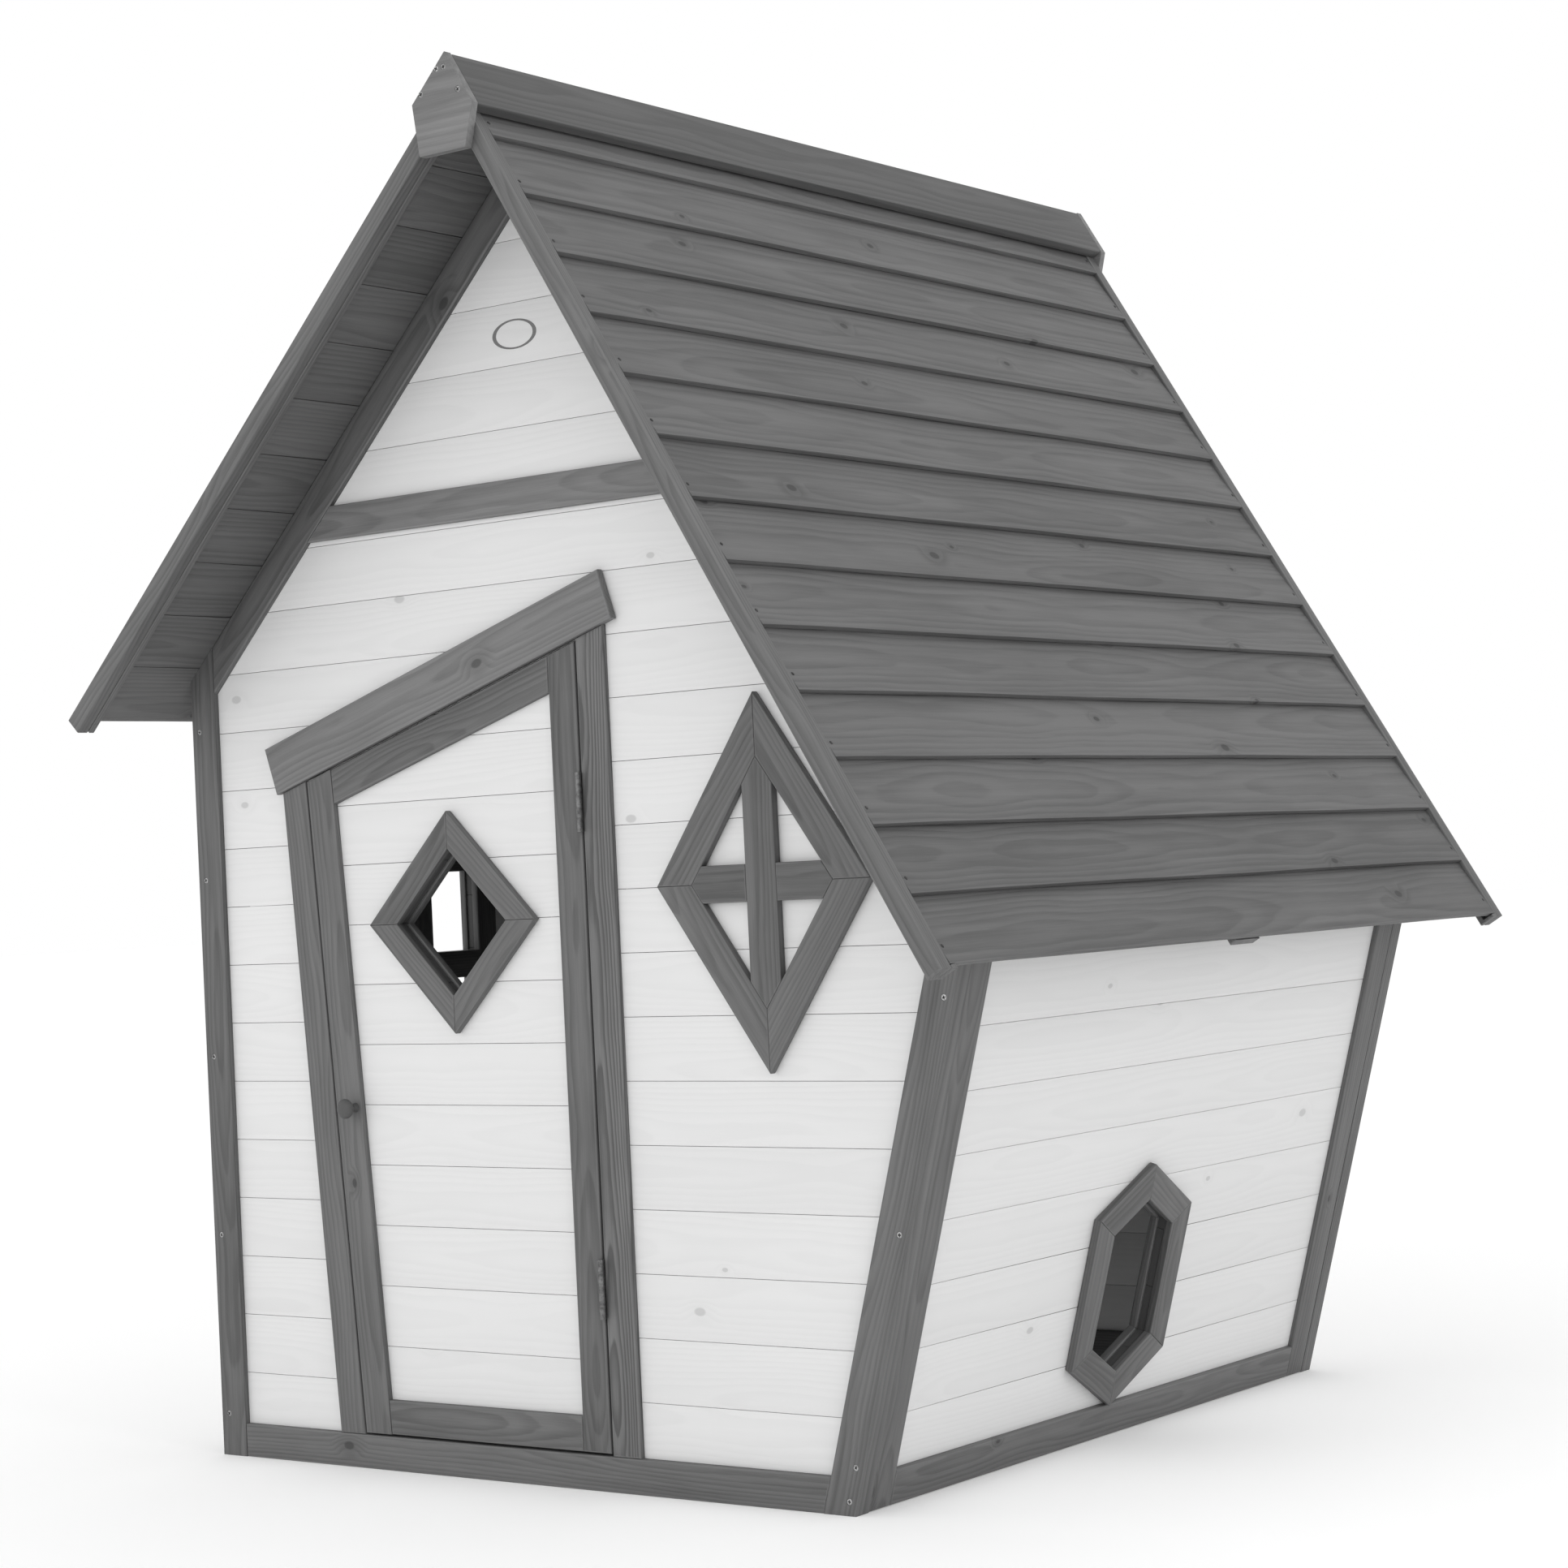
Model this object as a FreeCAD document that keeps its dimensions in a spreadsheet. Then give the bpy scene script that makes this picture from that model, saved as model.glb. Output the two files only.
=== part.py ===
"""A crooked timber playhouse: framed wall panels clad with boards, a lapped-board roof and a hinged door.

Axes: X runs to the right along the front wall, Y from the front wall to the back wall, Z up.
The origin is on the ground, midway between the two eaves and midway between the front and back walls.
All sizes are in millimetres and degrees.
"""
import FreeCAD, Part
import math
import os
import Sketcher

SIZES = {
    # walls
    "base_width": 1075.0,       # outside the wall panels at the ground, left to right
    "base_depth": 1144.0,       # outside the front panel to outside the back panel
    "wall_lean": 16.0,          # the right wall leans outwards by this angle
    "trim_width": 45.0,         # visible face of every frame member
    "frame_thick": 26.0,        # thickness of the frame members
    "clad_recess": 8.0,         # the boards lie this far behind the frame's outer face
    "clad_thick": 12.0,
    "clad_pitch": 80.0,         # cover width of one wall board
    "clad_joint": 0.6,          # open joint between two boards
    "clad_start": 34.8,         # height where the lowest board's tongue begins
    "beam_height": 1241.0,      # underside of the crossbeam in the gables
    "gable_start": 1272.5,      # height where the lowest gable board's tongue begins
    # roof
    "ridge_off": 143.0,         # the ridge stands this far to the right of the middle
    "ridge_height": 1767.0,     # where the outer planes of the two roof slopes meet
    "left_slope": 44.7,
    "right_slope": 59.2,
    "left_eave": 98.6,          # boards past the left wall's outer face, along the slope
    "right_eave": 104.6,
    "overhang": 160.0,          # roof past the front and the back wall
    "roof_board_thick": 8.0,    # lower edge of a roof board, where it lies over the next one
    "roof_tongue_thick": 8.0,   # its upper edge, under the next one
    "roof_board_pitch": 92.3,   # part of each lapped board that shows
    "roof_board_lap": 15.0,
    "barge_thick": 32.0,        # measured front to back
    "barge_deep": 25.0,         # measured square to the slope
    "barge_tail": 6.0,          # the barge boards run this far past the lowest roof board
    "rabbet_width": 11.0,       # ledge in the barge boards that the roof boards' ends lie on
    "rabbet_gap": 1.0,          # between the ledge's lower end and the lowest board
    "batten_width": 64.0,
    "batten_thick": 12.0,
    "batten_short": 4.0,        # the mid battens stop this far short of the lowest roof board's edge
    "ridge_board_reach": 60.0,  # ridge to the ridge board's lower edge, along the slope
    "ridge_board_thick": 16.0,
    "cap_thick": 12.0,
    "cap_foot_height": 1670.0,
    "cap_foot_left": 45.0,      # foot of the end cap, measured to the left of the ridge
    "cap_foot_right": 31.0,
    # door and its frame
    "hinge_line": 164.0,        # middle of the gap between the leaf and the right jamb
    "hinge_gap": 3.0,
    "latch_gap": 4.0,
    "door_foot_gap": 3.0,
    "door_head_gap": 2.5,
    "door_head_bevel": 7.0,     # the leaf's head falls by this much to the back, to clear the header
    "door_width": 423.5,        # leaf at its foot
    "door_lean": 3.8,           # the leaf's latch edge leans outwards by this angle
    "leaf_thick": 24.0,
    "door_board_start": 3.5,    # height where the pattern of door boards begins
    "header_left": 374.0,       # lower left corner of the header, left of the middle
    "header_height": 904.0,
    "header_slope": 17.4,
    "header_long": 633.0,
    "header_width": 66.0,
    "header_proud": 5.0,        # the header stands this far in front of the frame
    "stop_width": 30.0,
    "stop_thick": 15.0,
    "knob_off": 255.0,          # knob, left of the middle
    "knob_height": 480.0,
    "knob_dia": 27.0,
    "knob_long": 27.0,
    "knob_neck_dia": 13.0,
    "knob_screw_dia": 4.0,
    "knob_flat_dia": 19.4,      # where the knob's domed head turns in to its tip
    "knob_tip": 3.0,
    "knob_bore_deep": 10.0,
    # windows
    "window_frame_thick": 12.0,
    "window_rebate": 3.0,       # the hole in the boards is this much larger all round
    "door_window_off": 66.0,    # middle of the diamond, left of the middle
    "door_window_height": 722.0,
    "door_window_half": 145.0,  # half of each diagonal of the frame
    "door_window_trim": 35.0,
    "diamond_off": 444.5,       # applied diamond on the front wall, right of the middle
    "diamond_height": 755.0,
    "diamond_half_width": 162.0,
    "diamond_half_height": 231.0,
    "diamond_bar": 46.0,
    "hex_off": 16.0,            # hexagonal window, in front of the middle of the right wall
    "hex_rail_gap": 0.2,        # between the bottom rail and the frame's lower tip
    "hex_half_width": 116.0,
    "hex_half_side": 101.5,     # half of the long straight side
    "hex_half_height": 166.0,
    "hex_trim": 42.0,
    "pane_front": 434.0,        # near edge of the left window's opening, from the front face
    "pane_width": 100.0,
    "pane_foot": 518.0,
    "pane_head": 791.0,
    "pane_bar_height": 631.5,
    "pane_bar": 40.0,
    "pane_trim": 40.0,
    # hardware
    "hinge_long": 75.0,
    "hinge_low": 217.0,         # foot of the lower hinge
    "hinge_high": 829.0,        # foot of the upper hinge
    "hinge_leaf_deep": 20.0,
    "hinge_leaf_thick": 1.2,
    "hinge_barrel_dia": 8.0,
    "hinge_pin_dia": 4.8,
    "hinge_clearance": 0.05,    # radial play of the pin in the moving knuckles
    "barrel_out": 4.2,          # the hinge axis lies this far in front of the leaf
    "screw_dia": 4.0,
    "screw_head_dia": 8.0,
    "screw_head_high": 3.0,
    "screw_long": 42.0,
    "top_screw_down": 70.3,    # from the left post's outer top corner down to its top screw
}

HINGE_KNUCKLES = 5
KNUCKLE_PLAY = 0.3
FAR = 3000.0

doc = FreeCAD.newDocument("Playhouse")
sheet = doc.addObject("Spreadsheet::Sheet", "Sizes")
for row, (alias, value) in enumerate(SIZES.items(), start=1):
    sheet.set(f"A{row}", str(value))
    sheet.setAlias(f"A{row}", alias)
wall_meets_roof = "(base_width / 2 + tan(wall_lean) * (ridge_height + ridge_off * tan(right_slope)))" \
                  " / (1 + tan(wall_lean) * tan(right_slope))"
WORKED_OUT = {
    # ridge to the lowest board's edge, along the slope
    "left_rake": "(ridge_off + base_width / 2) / cos(left_slope) + left_eave",
    "right_rake": f"({wall_meets_roof} - ridge_off) / cos(right_slope) + right_eave",
    # the middle of the walls, from the origin midway between the eaves
    "middle": "((left_rake + barge_tail) * cos(left_slope)"
              " - (right_rake + barge_tail) * cos(right_slope)) / 2 - ridge_off",
    "hex_height": "trim_width + hex_rail_gap + hex_half_height",
}
for row, (alias, formula) in enumerate(WORKED_OUT.items(), start=len(SIZES) + 1):
    sheet.set(f"A{row}", f"={formula}")
    sheet.setAlias(f"A{row}", alias)
doc.recompute()

parts = []


def number(expression):
    """The value that an expression on the sheet has now."""
    return float(sheet.evalExpression(f"1.0 * ({expression})"))


def sized(text):
    """Write sheet names as expressions use them: $name becomes Sizes.name."""
    return text.replace("$", "Sizes.")


def keep(obj, label):
    """Name a finished piece and put it on the list of pieces to write."""
    obj.Label = label
    parts.append(obj)
    return obj


def bind(obj, **expressions):
    """Bind properties, with two underscores for a dot, to expressions."""
    for name, expression in expressions.items():
        obj.setExpression(name.replace("__", "."), sized(expression))


# ---- straight lines in a wall's own plane: a * across + b * up = c ------------------------------

def upright(across):
    return ("1", "0", sized(across))


def level(up):
    return ("0", "1", sized(up))


def cross(first, second):
    """Corner where two lines meet, as a pair of expressions."""
    a1, b1, c1 = first
    a2, b2, c2 = second
    det = f"(({a1}) * ({b2}) - ({a2}) * ({b1}))"
    across = f"((({c1}) * ({b2}) - ({c2}) * ({b1})) / {det})"
    up = f"((({a1}) * ({c2}) - ({a2}) * ({c1})) / {det})"
    return (across, up)


def corners(lines):
    """Corners of the outline that a closed run of lines makes."""
    return [cross(lines[i - 1], lines[i]) for i in range(len(lines))]


def roof_left(depth):
    """Line at a depth below the left slope's outer plane."""
    up = f"$ridge_height - $ridge_off * tan($left_slope) - ({depth}) / cos($left_slope)"
    return (sized("-tan($left_slope)"), "1", sized(up))


def roof_right(depth):
    up = f"$ridge_height + $ridge_off * tan($right_slope) - ({depth}) / cos($right_slope)"
    return (sized("tan($right_slope)"), "1", sized(up))


def square_left(reach):
    """Line square to the left slope, at a distance from the ridge along the slope."""
    c = f"-({reach}) + cos($left_slope) * $ridge_off + sin($left_slope) * $ridge_height"
    return (sized("cos($left_slope)"), sized("sin($left_slope)"), sized(c))


def square_right(reach):
    c = f"({reach}) + cos($right_slope) * $ridge_off - sin($right_slope) * $ridge_height"
    return (sized("cos($right_slope)"), sized("-sin($right_slope)"), sized(c))


def latch_line(inset):
    """Line beside the leaf's leaning latch edge, an inset to the right of it."""
    c = f"$hinge_line - $hinge_gap / 2 - $door_width + ({inset}) / cos($door_lean)"
    foot = "($trim_width + $door_foot_gap) * tan($door_lean)"
    return ("1", sized("tan($door_lean)"), sized(f"{c} + {foot}"))


def header_line(rise):
    """Line along the door header, a rise above its lower edge."""
    c = f"$header_height + $header_left * tan($header_slope) + ({rise}) / cos($header_slope)"
    return (sized("-tan($header_slope)"), "1", sized(c))


# ---- pieces --------------------------------------------------------------------------------------

def sketch_outline(body, plane_role, points):
    """Closed outline in a body's origin plane, each corner held by two sizes."""
    sketch = body.newObject("Sketcher::SketchObject", "Outline")
    plane = next(f for f in body.Origin.OriginFeatures if f.Role == plane_role)
    sketch.AttachmentSupport = [(plane, "")]
    sketch.MapMode = "FlatFace"
    values = [(number(x), number(z)) for x, z in points]
    count = len(points)
    for i in range(count):
        start = FreeCAD.Vector(*values[i], 0)
        end = FreeCAD.Vector(*values[(i + 1) % count], 0)
        sketch.addGeometry(Part.LineSegment(start, end), False)
    for i in range(count):
        sketch.addConstraint(Sketcher.Constraint("Coincident", i, 2, (i + 1) % count, 1))
    for i in range(count):
        for kind, k in (("DistanceX", 0), ("DistanceY", 1)):
            held = sketch.addConstraint(Sketcher.Constraint(kind, -1, 1, i, 1, values[i][k]))
            sketch.setExpression(f"Constraints[{held}]", points[i][k])
    return sketch


def slab(points, face, thick, wall="front"):
    """Flat piece with an outline in its wall's plane.

    face is how far its outer face lies behind the wall's outer plane, and thick is measured inwards.
    The front wall's outline is in X and Z, and a side wall's in Y and the height along the wall.
    """
    body = doc.addObject("PartDesign::Body", "Slab")
    plane_role = "XZ_Plane" if wall in ("front", "back") else "YZ_Plane"
    sketch = sketch_outline(body, plane_role, points)
    pad = body.newObject("PartDesign::Pad", "Pad")
    pad.Profile = sketch
    bind(pad, Length=thick)
    if wall == "front":
        bind(body, Placement__Base__x="$middle",
             Placement__Base__y=f"-$base_depth / 2 + ({face}) + ({thick})")
    elif wall == "back":
        bind(body, Placement__Base__x="$middle", Placement__Base__y=f"$base_depth / 2 - ({face})")
    elif wall == "left":
        bind(body, Placement__Base__x=f"$middle - $base_width / 2 + ({face})")
    else:
        lean = SIZES["wall_lean"]
        body.Placement = FreeCAD.Placement(FreeCAD.Vector(), FreeCAD.Rotation(FreeCAD.Vector(0, 1, 0), lean))
        bind(body,
             Placement__Rotation__Angle="$wall_lean",
             Placement__Base__x=f"$middle + $base_width / 2 - (({face}) + ({thick})) * cos($wall_lean)",
             Placement__Base__z=f"(({face}) + ({thick})) * sin($wall_lean)")
    return body


def box(long, wide, high, x, y, z, tilt=None, tilt_axis=1):
    """Box from its low corner, x from the middle of the walls, turned by tilt about Y."""
    obj = doc.addObject("Part::Box", "Box")
    bind(obj, Length=long, Width=wide, Height=high)
    if tilt:
        turn = FreeCAD.Rotation(FreeCAD.Vector(0, tilt_axis, 0), number(sized(tilt)))
        obj.Placement = FreeCAD.Placement(FreeCAD.Vector(), turn)
        bind(obj, Placement__Rotation__Angle=tilt)
    bind(obj, Placement__Base__x=f"$middle + {x}", Placement__Base__y=y, Placement__Base__z=z)
    return obj


def group(pieces):
    compound = doc.addObject("Part::Compound", "Group")
    compound.Links = pieces
    return compound


def common(base, tool):
    obj = doc.addObject("Part::Common", "Common")
    obj.Base = base
    obj.Tool = tool
    return obj


def cut(base, tool):
    obj = doc.addObject("Part::Cut", "Cut")
    obj.Base = base
    obj.Tool = tool
    return obj


def fuse(pieces):
    obj = doc.addObject("Part::MultiFuse", "Fuse")
    obj.Shapes = pieces
    return obj


def front_cylinder(radius, long, x, y, z):
    """Cylinder with its axis along Y, running to the back from y."""
    obj = doc.addObject("Part::Cylinder", "Rod")
    obj.Placement = FreeCAD.Placement(FreeCAD.Vector(), FreeCAD.Rotation(FreeCAD.Vector(1, 0, 0), -90))
    bind(obj, Radius=radius, Height=long, Placement__Base__x=f"$middle + {x}",
         Placement__Base__y=y, Placement__Base__z=z)
    return obj


def rows_between(start, foot, head):
    """Numbers of the wall boards that reach into the band from foot to head."""
    first = math.floor((foot - start) / SIZES["clad_pitch"])
    last = math.ceil((head - start) / SIZES["clad_pitch"])
    return range(first, last)


def wall_boards(field, rows, start, wall):
    """Boards laid level across a wall, cut to the field's outline."""
    boards = []
    high = "$clad_pitch - $clad_joint"
    for k in rows:
        up = f"({start} + {k} * $clad_pitch)"
        if wall in ("front", "back"):
            y = "-$base_depth / 2 + $clad_recess"
            if wall == "back":
                y = "$base_depth / 2 - $clad_recess - $clad_thick"
            boards.append(box(str(FAR), "$clad_thick", high, x=str(-FAR / 2), y=y, z=up))
        elif wall == "left":
            boards.append(box("$clad_thick", str(FAR), high,
                              x="-$base_width / 2 + $clad_recess", y=str(-FAR / 2), z=up))
        else:
            inset = "($clad_recess + $clad_thick)"
            boards.append(box("$clad_thick", str(FAR), high, tilt="$wall_lean",
                              x=f"$base_width / 2 - {inset} * cos($wall_lean) + {up} * sin($wall_lean)",
                              y=str(-FAR / 2),
                              z=f"{inset} * sin($wall_lean) + {up} * cos($wall_lean)"))
    return common(group(boards), slab(field, "$clad_recess", "$clad_thick", wall))


# ---- lines of the house --------------------------------------------------------------------------

lap_depth = "($roof_board_thick * (1 + $roof_board_lap / $roof_board_pitch))"
roof_depth = f"({lap_depth} + $roof_tongue_thick)"
trim_depth = f"({roof_depth} + $trim_width)"
batten_depth = f"({roof_depth} + $batten_thick)"

ground = level("0")
rail_top = level("$trim_width")
beam_foot = level("$beam_height")
beam_head = level("$beam_height + $trim_width")
left_out = upright("-$base_width / 2")
left_in = upright("-$base_width / 2 + $trim_width")
right_out = ("1", sized("-tan($wall_lean)"), sized("$base_width / 2"))
right_in = ("1", sized("-tan($wall_lean)"), sized("$base_width / 2 - $trim_width / cos($wall_lean)"))

jamb_left_out = latch_line("-$latch_gap - $trim_width")
jamb_left_in = latch_line("-$latch_gap")
leaf_left = latch_line("0")
leaf_left_in = latch_line("$trim_width")
leaf_right = upright("$hinge_line - $hinge_gap / 2")
leaf_right_in = upright("$hinge_line - $hinge_gap / 2 - $trim_width")
jamb_right_in = upright("$hinge_line + $hinge_gap / 2")
jamb_right_out = upright("$hinge_line + $hinge_gap / 2 + $trim_width")
leaf_foot = level("$trim_width + $door_foot_gap")
leaf_foot_in = level("2 * $trim_width + $door_foot_gap")
header_foot = header_line("0")
leaf_head = header_line("-$door_head_gap")
leaf_head_in = header_line("-$door_head_gap - $trim_width")


def gable_frame(side, wall):
    """Two posts, bottom rail, two gable trims and crossbeam of the front or the back panel."""
    outlines = {
        "left_post": [ground, left_out, roof_left(roof_depth), left_in],
        "right_post": [ground, right_in, roof_right(roof_depth), right_out],
        "bottom_rail": [ground, left_in, rail_top, right_in],
        "left_gable_trim": [left_in, roof_left(roof_depth), roof_right(roof_depth), roof_left(trim_depth)],
        "right_gable_trim": [right_in, roof_right(roof_depth), roof_left(roof_depth), roof_right(trim_depth)],
        "crossbeam": [beam_foot, roof_left(trim_depth), beam_head, roof_right(trim_depth)],
    }
    frame = {}
    for name, lines in outlines.items():
        points = corners(lines)
        if name.endswith("gable_trim"):
            points = mitred_trim(name)
        frame[name] = slab(points, "0", "$frame_thick", wall)
        frame[name].Label = f"{side}_{name}"
    return frame


def mitred_trim(name):
    """Gable trim from its post to the mitre at the ridge."""
    ours, post = (roof_left, left_in) if name.startswith("left") else (roof_right, right_in)
    peak_out = cross(roof_left(roof_depth), roof_right(roof_depth))
    peak_in = cross(roof_left(trim_depth), roof_right(trim_depth))
    return [cross(post, ours(roof_depth)), peak_out, peak_in, cross(post, ours(trim_depth))]


# ---- front and back panels -----------------------------------------------------------------------

def screw(x, y, z, long, inward=True):
    """Countersunk wood screw driven along Y, its head flush with the face at y."""
    head_y, shank_y = (y, f"{y} + $screw_head_high")
    if not inward:
        head_y, shank_y = (f"{y} - $screw_head_high", f"{y} - $screw_head_high - ({long})")
    head = front_cylinder("$screw_head_dia / 2", "$screw_head_high", x, head_y, z)
    shank = front_cylinder("$screw_dia / 2", long, x, shank_y, z)
    return fuse([head, shank])


front = gable_frame("front", "front")
back = gable_frame("back", "back")

LEFT_SCREWS = ["57", "303", "549", "793", cross(left_out, roof_left(roof_depth))[1] + " - $top_screw_down"]
RIGHT_SCREWS = ["17", "58", "335", "612"]
wall_screws = []
for y, inward in (("-$base_depth / 2", True), ("$base_depth / 2", False)):
    for z in LEFT_SCREWS:
        wall_screws.append(screw("-$base_width / 2 + $frame_thick / 2", y, z, "$screw_long", inward))
    for z in RIGHT_SCREWS:
        x = f"$base_width / 2 + {z} * tan($wall_lean) - $frame_thick / 2 / cos($wall_lean)"
        wall_screws.append(screw(x, y, z, "$screw_long", inward))
screw_holes = group(wall_screws)
keep(group(wall_screws), "wall_screws")

for side, frame in (("front", front), ("back", back)):
    for name, piece in frame.items():
        if name.endswith("post"):
            piece.Label = f"{side}_{name}_blank"
            piece = cut(piece, screw_holes)
        keep(piece, f"{side}_{name}")

head_at_hinge = number(cross(header_foot, jamb_right_in)[1])
clad_start = SIZES["clad_start"]
door_rows = math.ceil((head_at_hinge - clad_start) / SIZES["clad_pitch"])
over_door = level(f"$clad_start + {door_rows} * $clad_pitch")
beam_height = SIZES["beam_height"]
peak = number(cross(roof_left(trim_depth), roof_right(trim_depth))[1])
gable_start = SIZES["gable_start"]

left_field = corners([rail_top, left_in, roof_left(trim_depth), over_door, header_foot, jamb_left_out])
right_field = corners([rail_top, jamb_right_out, over_door, roof_right(trim_depth), right_in])
over_field = corners([over_door, roof_left(trim_depth), beam_foot, roof_right(trim_depth),
                      over_door, jamb_right_out, header_foot])
gable_field = corners([beam_head, roof_left(trim_depth), roof_right(trim_depth)])
back_field = corners([rail_top, left_in, roof_left(trim_depth), beam_foot, roof_right(trim_depth), right_in])

low_rows = range(0, door_rows)
high_rows = rows_between(clad_start, clad_start + door_rows * SIZES["clad_pitch"], beam_height)
gable_rows = rows_between(gable_start, beam_height + SIZES["trim_width"], peak)
keep(wall_boards(left_field, low_rows, "$clad_start", "front"), "front_boards_left")
keep(wall_boards(right_field, low_rows, "$clad_start", "front"), "front_boards_right")
keep(wall_boards(over_field, high_rows, "$clad_start", "front"), "front_boards_over_door")
keep(wall_boards(gable_field, gable_rows, "$gable_start", "front"), "front_boards_gable")
back_rows = rows_between(clad_start, SIZES["trim_width"], beam_height)
back_low = wall_boards(back_field, back_rows, "$clad_start", "back")
back_high = wall_boards(gable_field, gable_rows, "$gable_start", "back")
keep(group([back_low, back_high]), "back_boards")

# ---- door frame ----------------------------------------------------------------------------------

for jamb, near, far in (("door_left_jamb", jamb_left_out, jamb_left_in),
                        ("door_right_jamb", jamb_right_in, jamb_right_out)):
    keep(slab(corners([rail_top, near, header_foot, far]), "0", "$frame_thick"), jamb)

across = "cos($header_slope)"
rise = "sin($header_slope)"
header_points = []
for along, above in (("0", "0"), ("$header_long", "0"),
                     ("$header_long", "$header_width"), ("0", "$header_width")):
    x = f"-$header_left + ({along}) * {across} - ({above}) * {rise}"
    z = f"$header_height + ({along}) * {rise} + ({above}) * {across}"
    header_points.append((sized(x), sized(z)))
keep(slab(header_points, "-$header_proud", "$header_proud + $clad_recess"), "door_header")

stop_lines = [rail_top, latch_line("-$latch_gap - $stop_width / 2"),
              header_foot, latch_line("$stop_width / 2 - $latch_gap")]
keep(slab(corners(stop_lines), "$frame_thick", "$stop_thick"), "door_stop")

# ---- door leaf -----------------------------------------------------------------------------------

def head_bevel():
    """Wedge that planes the leaf's head down towards the back, along the header's slope."""
    wedge = doc.addObject("Part::Wedge", "HeadBevel")
    turn = FreeCAD.Rotation(FreeCAD.Vector(0, -1, 0), SIZES["header_slope"])
    wedge.Placement = FreeCAD.Placement(FreeCAD.Vector(), turn)
    bind(wedge, Xmin="0", Xmax="$header_long", X2min="0", X2max="$header_long", Ymin="0", Ymax="$leaf_thick",
         Zmin="0", Zmax="$trim_width", Z2min="-$door_head_bevel * cos($header_slope)", Z2max="$trim_width",
         Placement__Rotation__Angle="$header_slope", Placement__Base__x="$middle - $header_left",
         Placement__Base__y="-$base_depth / 2",
         Placement__Base__z="$header_height - $door_head_gap / cos($header_slope)")
    return wedge


latch_stile = slab(corners([leaf_foot, leaf_left, leaf_head, leaf_left_in]), "0", "$leaf_thick")
knob_y = "-$base_depth / 2"
knob_screw = front_cylinder("$knob_screw_dia / 2", "$leaf_thick + $knob_bore_deep", "-$knob_off",
                            f"{knob_y} - $knob_bore_deep", "$knob_height")
keep(cut(cut(latch_stile, head_bevel()), knob_screw), "door_latch_stile")
hinge_stile = slab(corners([leaf_foot, leaf_right_in, leaf_head, leaf_right]), "0", "$leaf_thick")
keep(cut(hinge_stile, head_bevel()), "door_hinge_stile")
bottom_rail = corners([leaf_foot, leaf_left_in, leaf_foot_in, leaf_right_in])
keep(slab(bottom_rail, "0", "$leaf_thick"), "door_bottom_rail")
top_rail = slab(corners([leaf_head_in, leaf_left_in, leaf_head, leaf_right_in]), "0", "$leaf_thick")
keep(cut(top_rail, head_bevel()), "door_top_rail")


def diamond(off, height, half_width, half_height, inset):
    """Corners of a diamond whose sides lie an inset inside the outer ones: right, top, left, bottom."""
    slant = f"sqrt(({half_width}) ^ 2 + ({half_height}) ^ 2)"
    wide = f"(({half_width}) - ({inset}) * {slant} / ({half_height}))"
    high = f"(({half_height}) - ({inset}) * {slant} / ({half_width}))"
    points = [(f"{off} + {wide}", height), (off, f"{height} + {high}"),
              (f"{off} - {wide}", height), (off, f"{height} - {high}")]
    return [(sized(x), sized(z)) for x, z in points]


def hexagon(inset):
    """Corners of the hexagonal window, inset from the frame's outer edge."""
    slant = "sqrt($hex_half_width ^ 2 + ($hex_half_height - $hex_half_side) ^ 2)"
    wide = f"($hex_half_width - ({inset}))"
    tip = f"($hex_half_height - ({inset}) * {slant} / $hex_half_width)"
    side = f"({tip} - {wide} * ($hex_half_height - $hex_half_side) / $hex_half_width)"
    points = []
    for across_sign, up in ((1, side), (0, tip), (-1, side),
                            (-1, f"-{side}"), (0, f"-{tip}"), (1, f"-{side}")):
        points.append((sized(f"-$hex_off + {across_sign} * {wide}"), sized(f"$hex_height + ({up})")))
    return points


def pane(inset):
    """Corners of the left window, inset from the frame's outer edge (negative inset: larger)."""
    near = f"-$base_depth / 2 + $pane_front - $pane_trim + ({inset})"
    far = f"-$base_depth / 2 + $pane_front + $pane_width + $pane_trim - ({inset})"
    foot = f"$pane_foot - $pane_trim + ({inset})"
    head = f"$pane_head + $pane_trim - ({inset})"
    return [(sized(a), sized(b)) for a, b in ((near, foot), (far, foot), (far, head), (near, head))]


def mitred_ring(outer, inner, face, thick, wall):
    """One straight member for each side of the outline, mitred at the corners."""
    members = []
    for i in range(len(outer)):
        j = (i + 1) % len(outer)
        members.append(slab([outer[i], outer[j], inner[j], inner[i]], face, thick, wall))
    return group(members)


outer_face = "$clad_recess - $window_frame_thick"
inner_face = "$clad_recess + $clad_thick"
leaf_field = corners([leaf_foot_in, leaf_left_in, leaf_head_in, leaf_right_in])
leaf_top = number(cross(leaf_head_in, leaf_right_in)[1])
leaf_rows = rows_between(SIZES["door_board_start"], 2 * SIZES["trim_width"], leaf_top)


def door_diamond(inset):
    half = "$door_window_half"
    return diamond("-$door_window_off", "$door_window_height", half, half, inset)


door_hole = slab(door_diamond("$door_window_trim - $window_rebate"), "$clad_recess - 1", "$clad_thick + 2")
door_clad = wall_boards(leaf_field, leaf_rows, "$door_board_start", "front")
keep(cut(door_clad, door_hole), "door_boards")
door_outer, door_inner = door_diamond("0"), door_diamond("$door_window_trim")
keep(mitred_ring(door_outer, door_inner, outer_face, "$window_frame_thick", "front"), "door_window_frame")
inner_ring = mitred_ring(door_outer, door_inner, inner_face, "$window_frame_thick", "front")
keep(inner_ring, "door_window_inner_frame")

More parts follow.
